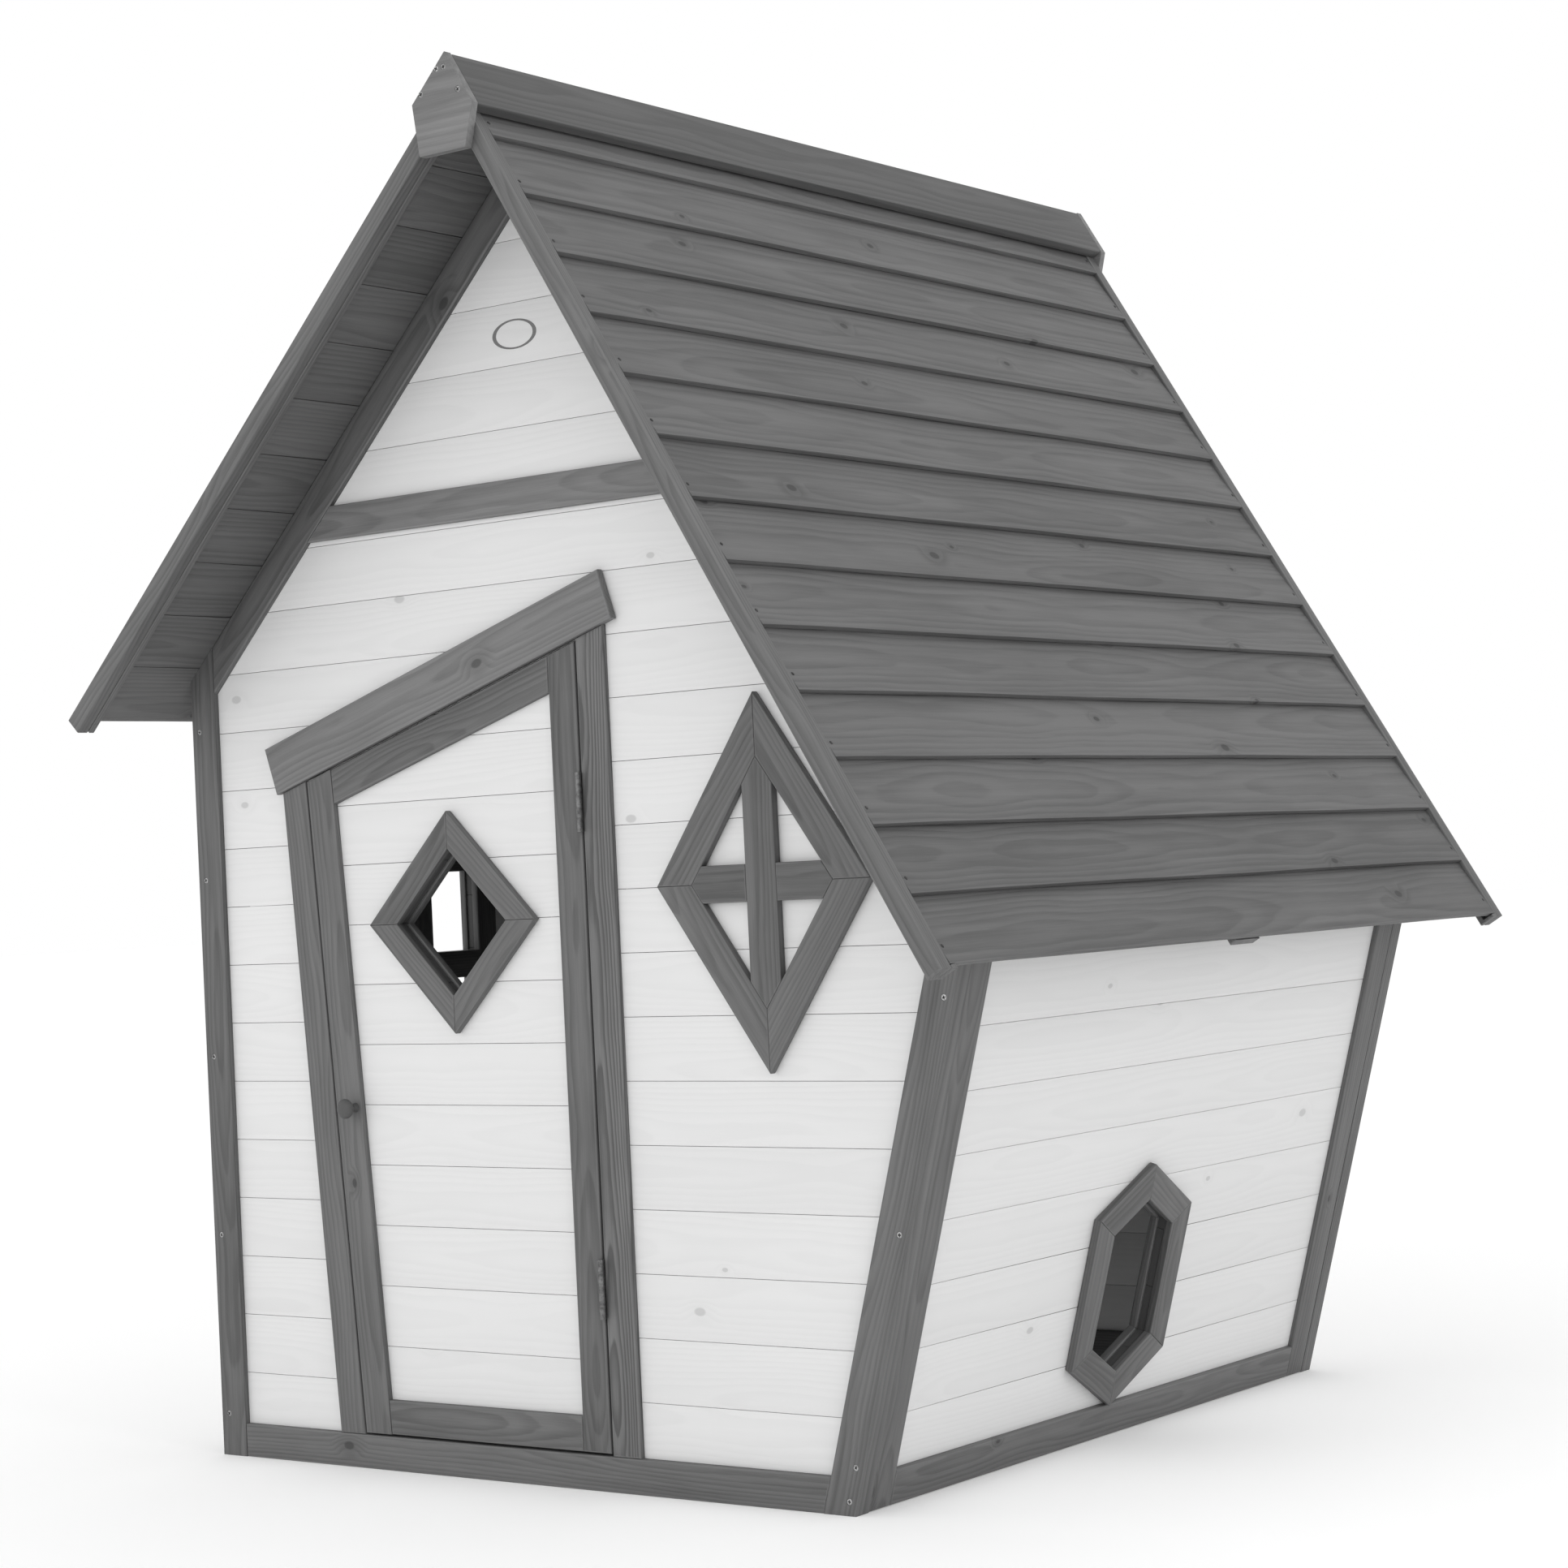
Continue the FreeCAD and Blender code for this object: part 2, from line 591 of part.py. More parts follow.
# turned knob: a neck and a round head on a screw from behind
knob = doc.addObject("PartDesign::Body", "Knob")
profile = knob.newObject("Sketcher::SketchObject", "KnobProfile")
plane = next(f for f in knob.Origin.OriginFeatures if f.Role == "XZ_Plane")
profile.AttachmentSupport = [(plane, "")]
profile.MapMode = "FlatFace"
neck = SIZES["knob_neck_dia"] / 2
bore = SIZES["knob_screw_dia"] / 2
radius = SIZES["knob_dia"] / 2
reach = SIZES["knob_long"]
shoulder = reach - radius
flat = SIZES["knob_flat_dia"] / 2
brow = reach - SIZES["knob_tip"]
deep = SIZES["knob_bore_deep"]
knob_points = [(bore, 0.0), (neck, 0.0), (neck, shoulder), (radius, shoulder), (flat, brow), (0.0, reach),
               (0.0, deep), (bore, deep)]
for i, point in enumerate(knob_points):
    following = knob_points[(i + 1) % len(knob_points)]
    profile.addGeometry(Part.LineSegment(FreeCAD.Vector(*point, 0), FreeCAD.Vector(*following, 0)), False)
knob_sizes = [("$knob_screw_dia / 2", "0"), ("$knob_neck_dia / 2", "0"),
              ("$knob_neck_dia / 2", "$knob_long - $knob_dia / 2"),
              ("$knob_dia / 2", "$knob_long - $knob_dia / 2"),
              ("$knob_flat_dia / 2", "$knob_long - $knob_tip"), ("0", "$knob_long"),
              ("0", "$knob_bore_deep"), ("$knob_screw_dia / 2", "$knob_bore_deep")]
for i in range(len(knob_points)):
    profile.addConstraint(Sketcher.Constraint("Coincident", i, 2, (i + 1) % len(knob_points), 1))
for i, (x, z) in enumerate(knob_sizes):
    for kind, k, text in (("DistanceX", 0, x), ("DistanceY", 1, z)):
        held = profile.addConstraint(Sketcher.Constraint(kind, -1, 1, i, 1, knob_points[i][k]))
        profile.setExpression(f"Constraints[{held}]", sized(text))
turned = knob.newObject("PartDesign::Revolution", "Turned")
turned.Profile = profile
turned.ReferenceAxis = (profile, ["V_Axis"])
turned.Angle = 360
knob.Placement = FreeCAD.Placement(FreeCAD.Vector(), FreeCAD.Rotation(FreeCAD.Vector(1, 0, 0), 90))
bind(knob, Placement__Base__x="$middle - $knob_off", Placement__Base__y=knob_y,
     Placement__Base__z="$knob_height")
keep(knob, "door_knob")
knob_screw_head = front_cylinder("$screw_head_dia / 2", "$screw_head_high", "-$knob_off",
                                 f"{knob_y} + $leaf_thick", "$knob_height")
keep(fuse([knob_screw, knob_screw_head]), "knob_screw")

# ---- applied diamond on the front wall -----------------------------------------------------------

def wall_diamond(inset):
    return diamond("$diamond_off", "$diamond_height", "$diamond_half_width", "$diamond_half_height", inset)


outer, inner = wall_diamond("0"), wall_diamond("$trim_width")
keep(mitred_ring(outer, inner, outer_face, "$window_frame_thick", "front"), "front_diamond_frame")
opening = slab(inner, outer_face, "$window_frame_thick")
post_bar = box("$diamond_bar", "$window_frame_thick", "2 * $diamond_half_height",
               x="$diamond_off - $diamond_bar / 2",
               y=f"-$base_depth / 2 + {outer_face}", z="$diamond_height - $diamond_half_height")
bars = [common(post_bar, opening)]
for side in (-1, 1):
    start = "$diamond_off + $diamond_bar / 2" if side > 0 else "$diamond_off - $diamond_half_width"
    arm = box("$diamond_half_width - $diamond_bar / 2", "$window_frame_thick", "$diamond_bar", x=start,
              y=f"-$base_depth / 2 + {outer_face}", z="$diamond_height - $diamond_bar / 2")
    bars.append(common(arm, opening))
keep(group(bars), "front_diamond_bars")

# ---- side walls ----------------------------------------------------------------------------------

left_head = "($ridge_height - $ridge_off * tan($left_slope) - " + batten_depth + " / cos($left_slope)" \
            " - tan($left_slope) * $base_width / 2)"
right_head = "(($ridge_height + tan($right_slope) * ($ridge_off - $base_width / 2) - " + batten_depth + \
             " / cos($right_slope)) / (cos($wall_lean) + tan($right_slope) * sin($wall_lean)))"
wall_front = upright("-$base_depth / 2 + $frame_thick")
stile_front = upright("-$base_depth / 2 + $frame_thick + $trim_width")
stile_back = upright("$base_depth / 2 - $frame_thick - $trim_width")
wall_back = upright("$base_depth / 2 - $frame_thick")
for wall, head in (("left", left_head), ("right", right_head)):
    wall_top = level(head)
    top_rail_foot = level(f"{head} - $trim_width")
    stiles = [slab(corners([ground, wall_front, wall_top, stile_front]), "0", "$frame_thick", wall),
              slab(corners([ground, stile_back, wall_top, wall_back]), "0", "$frame_thick", wall)]
    keep(cut(group(stiles), screw_holes), f"{wall}_wall_stiles")
    rails = [slab(corners([ground, stile_front, rail_top, stile_back]), "0", "$frame_thick", wall),
             slab(corners([top_rail_foot, stile_front, wall_top, stile_back]), "0", "$frame_thick", wall)]
    keep(group(rails), f"{wall}_wall_rails")
    field = corners([rail_top, stile_front, top_rail_foot, stile_back])
    rows = rows_between(clad_start, SIZES["trim_width"], number(sized(head)) - SIZES["trim_width"])
    boards = wall_boards(field, rows, "$clad_start", wall)
    shape, width = (pane, "$pane_trim") if wall == "left" else (hexagon, "$hex_trim")
    hole = slab(shape(f"{width} - $window_rebate"), "$clad_recess - 1", "$clad_thick + 2", wall)
    keep(cut(boards, hole), f"{wall}_wall_boards")
    for face, label in ((outer_face, "frame"), (inner_face, "inner_frame")):
        keep(mitred_ring(shape("0"), shape(width), face, "$window_frame_thick", wall),
             f"{wall}_window_{label}")

bar_lines = [level("$pane_bar_height"), upright("-$base_depth / 2 + $pane_front"),
             level("$pane_bar_height + $pane_bar"), upright("-$base_depth / 2 + $pane_front + $pane_width")]
bar_thick = "2 * $window_frame_thick + $clad_thick"
keep(slab(corners(bar_lines), "$clad_recess - $window_frame_thick", bar_thick, "left"),
     "left_window_bar")

# ---- roof ----------------------------------------------------------------------------------------

barge_end_left = square_left("$left_rake + $barge_tail")
barge_end_right = square_right("$right_rake + $barge_tail")


def slope_strip(side, top, foot, end):
    """Strip along a slope between two depths, from the mitre at the ridge down to an end line."""
    ours = roof_left if side == "left" else roof_right
    return [cross(roof_left(top), roof_right(top)), cross(ours(top), end),
            cross(ours(foot), end), cross(roof_left(foot), roof_right(foot))]


for wall in ("front", "back"):
    for side, end in (("left", barge_end_left), ("right", barge_end_right)):
        blank = slab(slope_strip(side, "0", "$barge_deep", end), "-$overhang", "$barge_thick", wall)
        square = square_left if side == "left" else square_right
        board_end = square(f"${side}_rake + $rabbet_gap")
        ledge_face = "$barge_thick - $rabbet_width - $overhang"
        ledge = slab(slope_strip(side, "0", roof_depth, board_end), ledge_face,
                     "$rabbet_width", wall)
        keep(cut(blank, ledge), f"{wall}_{side}_barge_board")

roof_run = "($base_depth + 2 * $overhang - 2 * ($barge_thick - $rabbet_width))"


def roof_board(side, reach):
    """Board whose lower edge lies at a reach from the ridge: wedge-shaped, rabbeted over the next one."""
    ours, square = (roof_left, square_left) if side == "left" else (roof_right, square_right)
    low = square(reach)
    lap = square(f"{reach} - $roof_board_lap")
    high = square(f"{reach} - $roof_board_pitch - $roof_board_lap + $clad_joint")
    tongue = "$roof_board_thick * (1 + ($roof_board_lap - $clad_joint) / $roof_board_pitch)"
    outline = [cross(ours("0"), low), cross(ours("$roof_board_thick"), low), cross(ours(lap_depth), lap),
               cross(ours(roof_depth), lap), cross(ours(roof_depth), high), cross(ours(tongue), high)]
    return slab(outline, "$barge_thick - $rabbet_width - $overhang", roof_run)


for side in ("left", "right"):
    rake = number(f"Sizes.{side}_rake")
    rows = range(math.ceil(rake / SIZES["roof_board_pitch"] - 0.1))
    boards = [roof_board(side, f"${side}_rake - {k} * $roof_board_pitch") for k in rows]
    half_x = "$ridge_off + $clad_joint / 2"
    if side == "left":
        half_x = f"$ridge_off - $clad_joint / 2 - {FAR}"
    half = box(str(FAR), str(FAR), str(FAR), y=str(-FAR / 2), z="0", x=half_x)
    keep(common(group(boards), half), f"{side}_roof_boards")

mid_battens = []
for side, square in (("left", square_left), ("right", square_right)):
    end = square(f"${side}_rake - $batten_short")
    mid_battens.append(slab(slope_strip(side, roof_depth, batten_depth, end),
                            "$base_depth / 2 - $batten_width / 2", "$batten_width"))
keep(group(mid_battens), "roof_mid_battens")

for side, square in (("left", square_left), ("right", square_right)):
    strip = slope_strip(side, "-$ridge_board_thick", "0", square("$ridge_board_reach"))
    keep(slab(strip, "-$overhang", "$base_depth + 2 * $overhang"), f"{side}_ridge_board")

cap_outline = [cross(roof_left("-$ridge_board_thick"), roof_right("-$ridge_board_thick")),
               cross(roof_right("-$ridge_board_thick"), square_right("$ridge_board_reach")),
               (sized("$ridge_off + $cap_foot_right"), sized("$cap_foot_height")),
               (sized("$ridge_off - $cap_foot_left"), sized("$cap_foot_height")),
               cross(roof_left("-$ridge_board_thick"), square_left("$ridge_board_reach"))]
CAP_SCREWS = ((-11.5, -19.0), (0.5, -18.5), (-39.0, -46.0), (22.5, -50.0))
cap_screws = []
for wall, y, inward in (("front", "-$base_depth / 2 - $overhang - $cap_thick", True),
                        ("back", "$base_depth / 2 + $overhang + $cap_thick", False)):
    drilled = []
    for across, down in CAP_SCREWS:
        z = f"({cap_outline[0][1]}) + {down}"
        drilled.append(screw(f"$ridge_off + {across}", y, z, "$cap_thick - $screw_head_high", inward))
    cap_screws += drilled
    plate = slab(cap_outline, "-$overhang - $cap_thick", "$cap_thick", wall)
    keep(cut(plate, group(drilled)), f"{wall}_ridge_cap")
keep(group(cap_screws), "ridge_cap_screws")

# ---- hinges --------------------------------------------------------------------------------------

axis_y = "(-$base_depth / 2 - $barrel_out)"
knuckle_long = f"($hinge_long / {HINGE_KNUCKLES})"


def knuckles(foot, numbers, bore):
    """Rolled knuckles round the pin, with a short web from each to the flat leaf."""
    pieces = []
    for k in numbers:
        low = f"({foot} + {k} * {knuckle_long} + {KNUCKLE_PLAY / 2})"
        shell = doc.addObject("Part::Cylinder", "Knuckle")
        hollow = doc.addObject("Part::Cylinder", "Bore")
        for cylinder, size in ((shell, "$hinge_barrel_dia / 2"), (hollow, bore)):
            bind(cylinder, Radius=size, Height=f"{knuckle_long} - {KNUCKLE_PLAY}",
                 Placement__Base__x="$middle + $hinge_line", Placement__Base__y=axis_y,
                 Placement__Base__z=low)
        pieces.append((cut(shell, hollow), low))
    return pieces


def hinge_leaf(foot, numbers, bore, plate_x):
    """One leaf of a butt hinge: the plate on the wood's edge and its own knuckles."""
    pieces = [box("$hinge_leaf_thick", "$hinge_leaf_deep", "$hinge_long", x=plate_x,
                  y="-$base_depth / 2", z=foot)]
    for knuckle, low in knuckles(foot, numbers, bore):
        pieces.append(knuckle)
        web = "($barrel_out - $hinge_barrel_dia / 2 + ($hinge_barrel_dia - $hinge_pin_dia) / 2 - 0.2)"
        pieces.append(box("$hinge_leaf_thick", web, f"{knuckle_long} - {KNUCKLE_PLAY}", x=plate_x,
                          y=f"-$base_depth / 2 - {web}", z=low))
    return fuse(pieces)


jamb_leaves, door_leaves, pins = [], [], []
for foot in ("$hinge_low", "$hinge_high"):
    jamb_x = "$hinge_line + $hinge_gap / 2 - $hinge_leaf_thick"
    leaf_x = "$hinge_line - $hinge_gap / 2"
    fixed = range(0, HINGE_KNUCKLES, 2)
    moving = range(1, HINGE_KNUCKLES, 2)
    jamb_leaves.append(hinge_leaf(foot, fixed, "$hinge_pin_dia / 2", jamb_x))
    door_leaves.append(hinge_leaf(foot, moving, "$hinge_pin_dia / 2 + $hinge_clearance", leaf_x))
    pin = doc.addObject("Part::Cylinder", "Pin")
    bind(pin, Radius="$hinge_pin_dia / 2", Height="$hinge_long", Placement__Base__x="$middle + $hinge_line",
         Placement__Base__y=axis_y, Placement__Base__z=foot)
    pins.append(pin)
keep(group(jamb_leaves), "hinge_jamb_leaves")
keep(group(door_leaves), "hinge_door_leaves")
keep(group(pins), "hinge_pins")

# ---- check and write -----------------------------------------------------------------------------

doc.recompute()
for obj in doc.Objects:
    if "Invalid" in obj.State or "Error" in obj.State:
        raise RuntimeError(f"{obj.Label}: {obj.State}")
os.makedirs("parts", exist_ok=True)
for obj in parts:
    if obj.Shape.isNull() or not obj.Shape.isValid():
        raise RuntimeError(f"{obj.Label}: bad shape")
    obj.Shape.exportStep(f"parts/{obj.Label}.step")
    print(f"{obj.Label}: {len(obj.Shape.Solids)} solids, {obj.Shape.Volume / 1e3:.1f} cm3")
print(f"{len(parts)} pieces")
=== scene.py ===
import math
import bpy
import numpy as np
from mathutils import Matrix, Vector
from mathutils.geometry import tessellate_polygon


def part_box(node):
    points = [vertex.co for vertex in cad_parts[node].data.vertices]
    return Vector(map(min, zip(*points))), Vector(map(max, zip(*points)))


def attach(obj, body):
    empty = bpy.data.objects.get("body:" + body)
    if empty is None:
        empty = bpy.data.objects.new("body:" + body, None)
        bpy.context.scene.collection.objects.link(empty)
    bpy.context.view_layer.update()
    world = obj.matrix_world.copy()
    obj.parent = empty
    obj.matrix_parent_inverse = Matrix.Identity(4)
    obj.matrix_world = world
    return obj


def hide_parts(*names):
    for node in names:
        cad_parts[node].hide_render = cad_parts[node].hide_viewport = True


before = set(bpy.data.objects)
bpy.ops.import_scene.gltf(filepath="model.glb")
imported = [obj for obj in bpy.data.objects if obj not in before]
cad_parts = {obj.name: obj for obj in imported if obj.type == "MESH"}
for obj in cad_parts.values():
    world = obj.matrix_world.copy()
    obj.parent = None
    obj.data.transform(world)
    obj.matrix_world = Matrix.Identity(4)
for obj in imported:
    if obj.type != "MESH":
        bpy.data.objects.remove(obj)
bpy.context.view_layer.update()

# ---- The studio ------------------------------------------------------------------------------
# The house stands on a white floor that is lit a little from within, under soft white light from
# all round. A broad lamp in front and a smaller one high on the right give the timber its slight
# modelling. The camera stands four and a half metres off the front right corner.

CAMERA_PLACE = (2.7023, -3.6676, 0.7659)
CAMERA_TURN = 0.6424
CAMERA_LIFT = 0.0273
CAMERA_ROLL = -0.0487
LENS = 73.99
SENSOR = 36.0
FLOOR_HALF = 40.0
FLOOR_TONE = 0.88
FLOOR_GLOW = 0.12


def grey(value):
    return (value, value, value, 1.0)


def add_object(name, data):
    """A new object for a mesh, a lamp or a camera, linked into the scene."""
    made = bpy.data.objects.new(name, data)
    bpy.context.collection.objects.link(made)
    return made


def disk_lamp(name, size, energy, place, aim):
    """A round white lamp of a width in metres and a power in watts, turned towards a point."""
    lamp = bpy.data.lights.new(name, "AREA")
    lamp.shape = "DISK"
    lamp.size = size
    lamp.energy = energy
    made = add_object(name, lamp)
    made.location = place
    made.rotation_euler = (Vector(aim) - Vector(place)).to_track_quat("-Z", "Y").to_euler()


camera = bpy.data.cameras.new("studio_camera")
camera.lens = LENS
camera.sensor_width = SENSOR
camera_object = add_object("studio_camera", camera)
camera_turn = (Matrix.Rotation(CAMERA_TURN, 4, "Z") @ Matrix.Rotation(math.pi / 2 + CAMERA_LIFT, 4, "X")
               @ Matrix.Rotation(CAMERA_ROLL, 4, "Z"))
camera_object.matrix_world = Matrix.Translation(CAMERA_PLACE) @ camera_turn
bpy.context.scene.camera = camera_object
bpy.context.scene.view_settings.view_transform = "Standard"

world = bpy.data.worlds.new("studio_light")
world.use_nodes = True
sky = world.node_tree.nodes["Background"]
sky.inputs["Color"].default_value = grey(1.0)
sky.inputs["Strength"].default_value = 1.0
bpy.context.scene.world = world
disk_lamp("broad_lamp", 4.0, 45.0, (-1.0, -6.5, 2.4), (0.1, 0.0, 0.8))
disk_lamp("high_side_lamp", 1.6, 34.0, (5.0, -1.5, 4.6), (0.5, 0.0, 0.7))

floor_corners = [(-FLOOR_HALF, -FLOOR_HALF, 0), (FLOOR_HALF, -FLOOR_HALF, 0),
                 (FLOOR_HALF, FLOOR_HALF, 0), (-FLOOR_HALF, FLOOR_HALF, 0)]
floor_mesh = bpy.data.meshes.new("studio_floor")
floor_mesh.from_pydata(floor_corners, [], [(0, 1, 2, 3)])
floor_paint = bpy.data.materials.new("studio_floor_light")
floor_paint.use_nodes = True
floor_surface = floor_paint.node_tree.nodes["Principled BSDF"]
floor_surface.inputs["Base Color"].default_value = grey(FLOOR_TONE)
floor_surface.inputs["Roughness"].default_value = 1.0
floor_surface.inputs["Emission Color"].default_value = grey(1.0)
floor_surface.inputs["Emission Strength"].default_value = FLOOR_GLOW
floor_mesh.materials.append(floor_paint)
add_object("studio_floor", floor_mesh)

# ---- Wall frames -----------------------------------------------------------------------------
# Every wall is a flat frame of planed softwood members, stained grey and screwed through the
# posts: front and back panels with gables, side panels between them. Each arris is eased with a
# small round.

ARRIS_ROUND = 0.0028
ARRIS_STEPS = 4
WELD = 1e-5
FACE_DEPTH = 2e-4
FACING = 0.9
STRAIGHT = 1e-3
SHARP_ANGLE = math.radians(31)


def point_places(mesh):
    """Where a mesh's points are, one row each."""
    places = np.empty(3 * len(mesh.vertices))
    mesh.vertices.foreach_get("co", places)
    return places.reshape(-1, 3)


def triangles_of(node):
    """Corner points of a node's triangles, with equal points welded to one number each."""
    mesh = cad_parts[node].data
    mesh.calc_loop_triangles()
    triangles = np.empty(3 * len(mesh.loop_triangles), int)
    mesh.loop_triangles.foreach_get("vertices", triangles)
    points = point_places(mesh)
    _, first, weld = np.unique(np.round(points / WELD), axis=0, return_index=True, return_inverse=True)
    return points[first], weld.ravel()[triangles].reshape(-1, 3)


def solid_numbers(points, triangles):
    """A number for each point, which all points of one solid share: its lowest point number."""
    label = np.arange(len(points))
    while True:
        lowest = label[triangles].min(axis=1)
        spread = label.copy()
        for corner in range(3):
            np.minimum.at(spread, triangles[:, corner], lowest)
        if (spread == label).all():
            return label
        label = spread


def outlines_of(node, outward):
    """Outline loops of each separate solid's outer face, and the solid's thickness square to it.

    The face's edges that no neighbouring face triangle shares make its loops, and points in line
    with their neighbours are dropped. The longest loop comes first.
    """
    points, triangles = triangles_of(node)
    solid_of = solid_numbers(points, triangles)[triangles[:, 0]]
    depth = points @ outward
    edge_a = points[triangles[:, 1]] - points[triangles[:, 0]]
    edge_b = points[triangles[:, 2]] - points[triangles[:, 0]]
    normal = np.cross(edge_a, edge_b)
    faces_out = (normal @ outward) > FACING * np.linalg.norm(normal, axis=1)
    solids = []
    for solid in np.unique(solid_of):
        own = solid_of == solid
        near, far = depth[triangles[own]].max(), depth[triangles[own]].min()
        face = triangles[own & faces_out & (depth[triangles].min(axis=1) > near - FACE_DEPTH)]
        edges = {(a, b) for t in face for a, b in ((t[0], t[1]), (t[1], t[2]), (t[2], t[0]))}
        following = {a: b for a, b in edges if (b, a) not in edges}
        loops = []
        while following:
            start, here = next(iter(following.items()))
            del following[start]
            loop = [start]
            while here != start:
                loop.append(here)
                here = following.pop(here)
            corners = points[loop]
            before = corners - np.roll(corners, 1, axis=0)
            after = np.roll(corners, -1, axis=0) - corners
            bend = np.linalg.norm(np.cross(before, after), axis=1)
            straight = STRAIGHT * np.linalg.norm(before, axis=1) * np.linalg.norm(after, axis=1)
            loops.append(corners[bend > straight])
        loops.sort(key=lambda c: -np.ptp(c, axis=0).sum())
        solids.append((loops, near - far))
    return solids


def inset_loop(loop, outward, distance):
    """The loop moved inwards by a distance: each corner along its bisector, so edges stay parallel."""
    before = loop - np.roll(loop, 1, axis=0)
    after = np.roll(loop, -1, axis=0) - loop
    before /= np.linalg.norm(before, axis=1)[:, None]
    after /= np.linalg.norm(after, axis=1)[:, None]
    inward = np.cross(outward, before) + np.cross(outward, after)
    share = np.einsum("ij,ij->i", inward, np.cross(outward, after))
    return loop + distance * inward / share[:, None]


def skin(number, reverse=False):
    """Faces between neighbouring rows of a grid of point numbers, where each row closes round."""
    ahead = np.roll(number, -1, axis=1)
    corners = [number[:-1], number[1:], ahead[1:], ahead[:-1]]
    if reverse:
        corners[1], corners[3] = corners[3], corners[1]
    return np.stack(corners, axis=-1).reshape(-1, 4).tolist()


def plank_surface(loops, thickness, outward, radius):
    """Rounded slab: the outline carried from face to back along a profile of two quarter rounds.

    At angle t of a quarter round the outline is inset by radius * (1 - sin t) and lies
    radius * (1 - cos t) below the face. Returns points, faces and how much wear and painted
    highlight each point's arris gets.
    """
    turn = np.linspace(0, math.pi / 2, ARRIS_STEPS)
    inset = radius * (1 - np.sin(turn))
    depth = radius * (1 - np.cos(turn))
    inset = np.concatenate([inset, inset[::-1]])
    depth = np.concatenate([depth, thickness - depth[::-1]])
    worn_and_lit = np.sin(2 * turn)
    worn_and_lit = np.concatenate([worn_and_lit, worn_and_lit[::-1]])
    points, faces, wear = [], [], []
    rims = ([], [])
    count = 0
    for loop in loops:
        rings = np.array([inset_loop(loop, outward, i) - d * outward for i, d in zip(inset, depth)])
        rows, around = rings.shape[:2]
        number = count + np.arange(rows * around).reshape(rows, around)
        faces += skin(number)
        points.append(rings.reshape(-1, 3))
        wear.append(np.repeat(worn_and_lit, around))
        rims[0].append(number[0])
        rims[1].append(number[-1])
        count += rows * around
    points = np.concatenate(points)
    if len(loops) == 1:
        faces.append(rims[0][0].tolist())
        faces.append(rims[1][0][::-1].tolist())
    else:
        for rim, flip in ((rims[0], 1), (rims[1], -1)):
            order = np.concatenate(rim)
            cap = tessellate_polygon([[Vector(points[i]) for i in ring] for ring in rim])
            for corner in cap:
                a, b, c = (order[i] for i in corner)
                side = np.cross(points[b] - points[a], points[c] - points[a]) @ outward * flip
                faces.append([a, b, c] if side > 0 else [a, c, b])
    return points, faces, np.concatenate(wear)


def longest_edge(loop):
    """Direction of a loop's longest edge."""
    edges = np.roll(loop, -1, axis=0) - loop
    best = edges[np.argmax(np.linalg.norm(edges, axis=1))]
    return best / np.linalg.norm(best)


def narrowest(loops):
    """The least distance from any corner of the loops to an edge that doesn't end there."""
    start = np.concatenate(loops)
    along = np.concatenate([np.roll(loop, -1, axis=0) for loop in loops]) - start
    reach = start[:, None] - start[None, :]
    share = np.clip((reach * along).sum(axis=2) / (along * along).sum(axis=1), 0, 1)
    distance = np.linalg.norm(reach - share[..., None] * along, axis=2)
    return distance[distance > WELD].min()


def merged(pieces):
    """One list of points and one of faces for several pieces."""
    points, faces, count = [], [], 0
    for piece_points, piece_faces in pieces:
        points.append(piece_points)
        faces += [[i + count for i in face] for face in piece_faces]
        count += len(piece_points)
    return np.concatenate(points), faces


def plank_numbers(rng, count):
    """A plank's random numbers, equal at all its points: its pattern, its shade and its heart."""
    return np.tile([rng.uniform(0, 90), rng.normal(0, 0.5), rng.uniform(-1, 1)], (count, 1))


def timber(node, solids, outward, material, body, rng, radius=ARRIS_ROUND, grain=None):
    """One object for a node's planks, with each plank's own grain directions and random numbers.

    The grain attribute holds each point's place along, across and into its own plank. A plank's
    round is never wider than its size allows, so that its rims don't cross.
    """
    pieces, wear, local, plank = [], [], [], []
    for loops, thickness in solids:
        edges = np.linalg.norm(np.roll(loops[0], -1, axis=0) - loops[0], axis=1)
        area = np.abs(np.cross(loops[0], np.roll(loops[0], -1, axis=0)).sum(axis=0) @ outward) / 2
        fit = min(radius, 0.6 * area / edges.sum(), thickness / 3, 0.4 * narrowest(loops))
        points, faces, worn_and_lit = plank_surface(loops, thickness, outward, fit)
        lengthwise = longest_edge(loops[0]) if grain is None else grain
        axes = np.array([lengthwise, np.cross(outward, lengthwise), outward])
        pieces.append((points, faces))
        wear.append(worn_and_lit)
        local.append((points - loops[0].mean(axis=0)) @ axes.T)
        plank.append(plank_numbers(rng, len(points)))
    return surface_piece(node, *merged(pieces), material, body, wear=np.concatenate(wear),
                         grain=np.concatenate(local), plank=np.concatenate(plank))


def surface_piece(node, points, faces, material, body, **attributes):
    """Mesh object in place of a node: flat faces stay flat, and the rounds are shaded smooth."""
    mesh = bpy.data.meshes.new(node + "_surface")
    mesh.from_pydata(points.tolist(), [], faces)
    mesh.materials.append(material)
    for name, values in attributes.items():
        kind, key = ("FLOAT", "value") if values.ndim == 1 else ("FLOAT_VECTOR", "vector")
        mesh.attributes.new(name, kind, "POINT").data.foreach_set(key, values.astype(np.float32).ravel())
    smooth = np.ones(len(faces), bool)
    if attributes.get("wear", np.zeros(1)).any():
        starts = np.concatenate([[0], np.cumsum([len(face) for face in faces])[:-1]])
        smooth = np.maximum.reduceat(attributes["wear"][np.concatenate(faces)], starts) > 1e-6
    mesh.polygons.foreach_set("use_smooth", smooth)
    mesh.set_sharp_from_angle(angle=SHARP_ANGLE)
    piece = add_object(node + "_shown", mesh)
    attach(piece, body)
    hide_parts(node)
    return piece


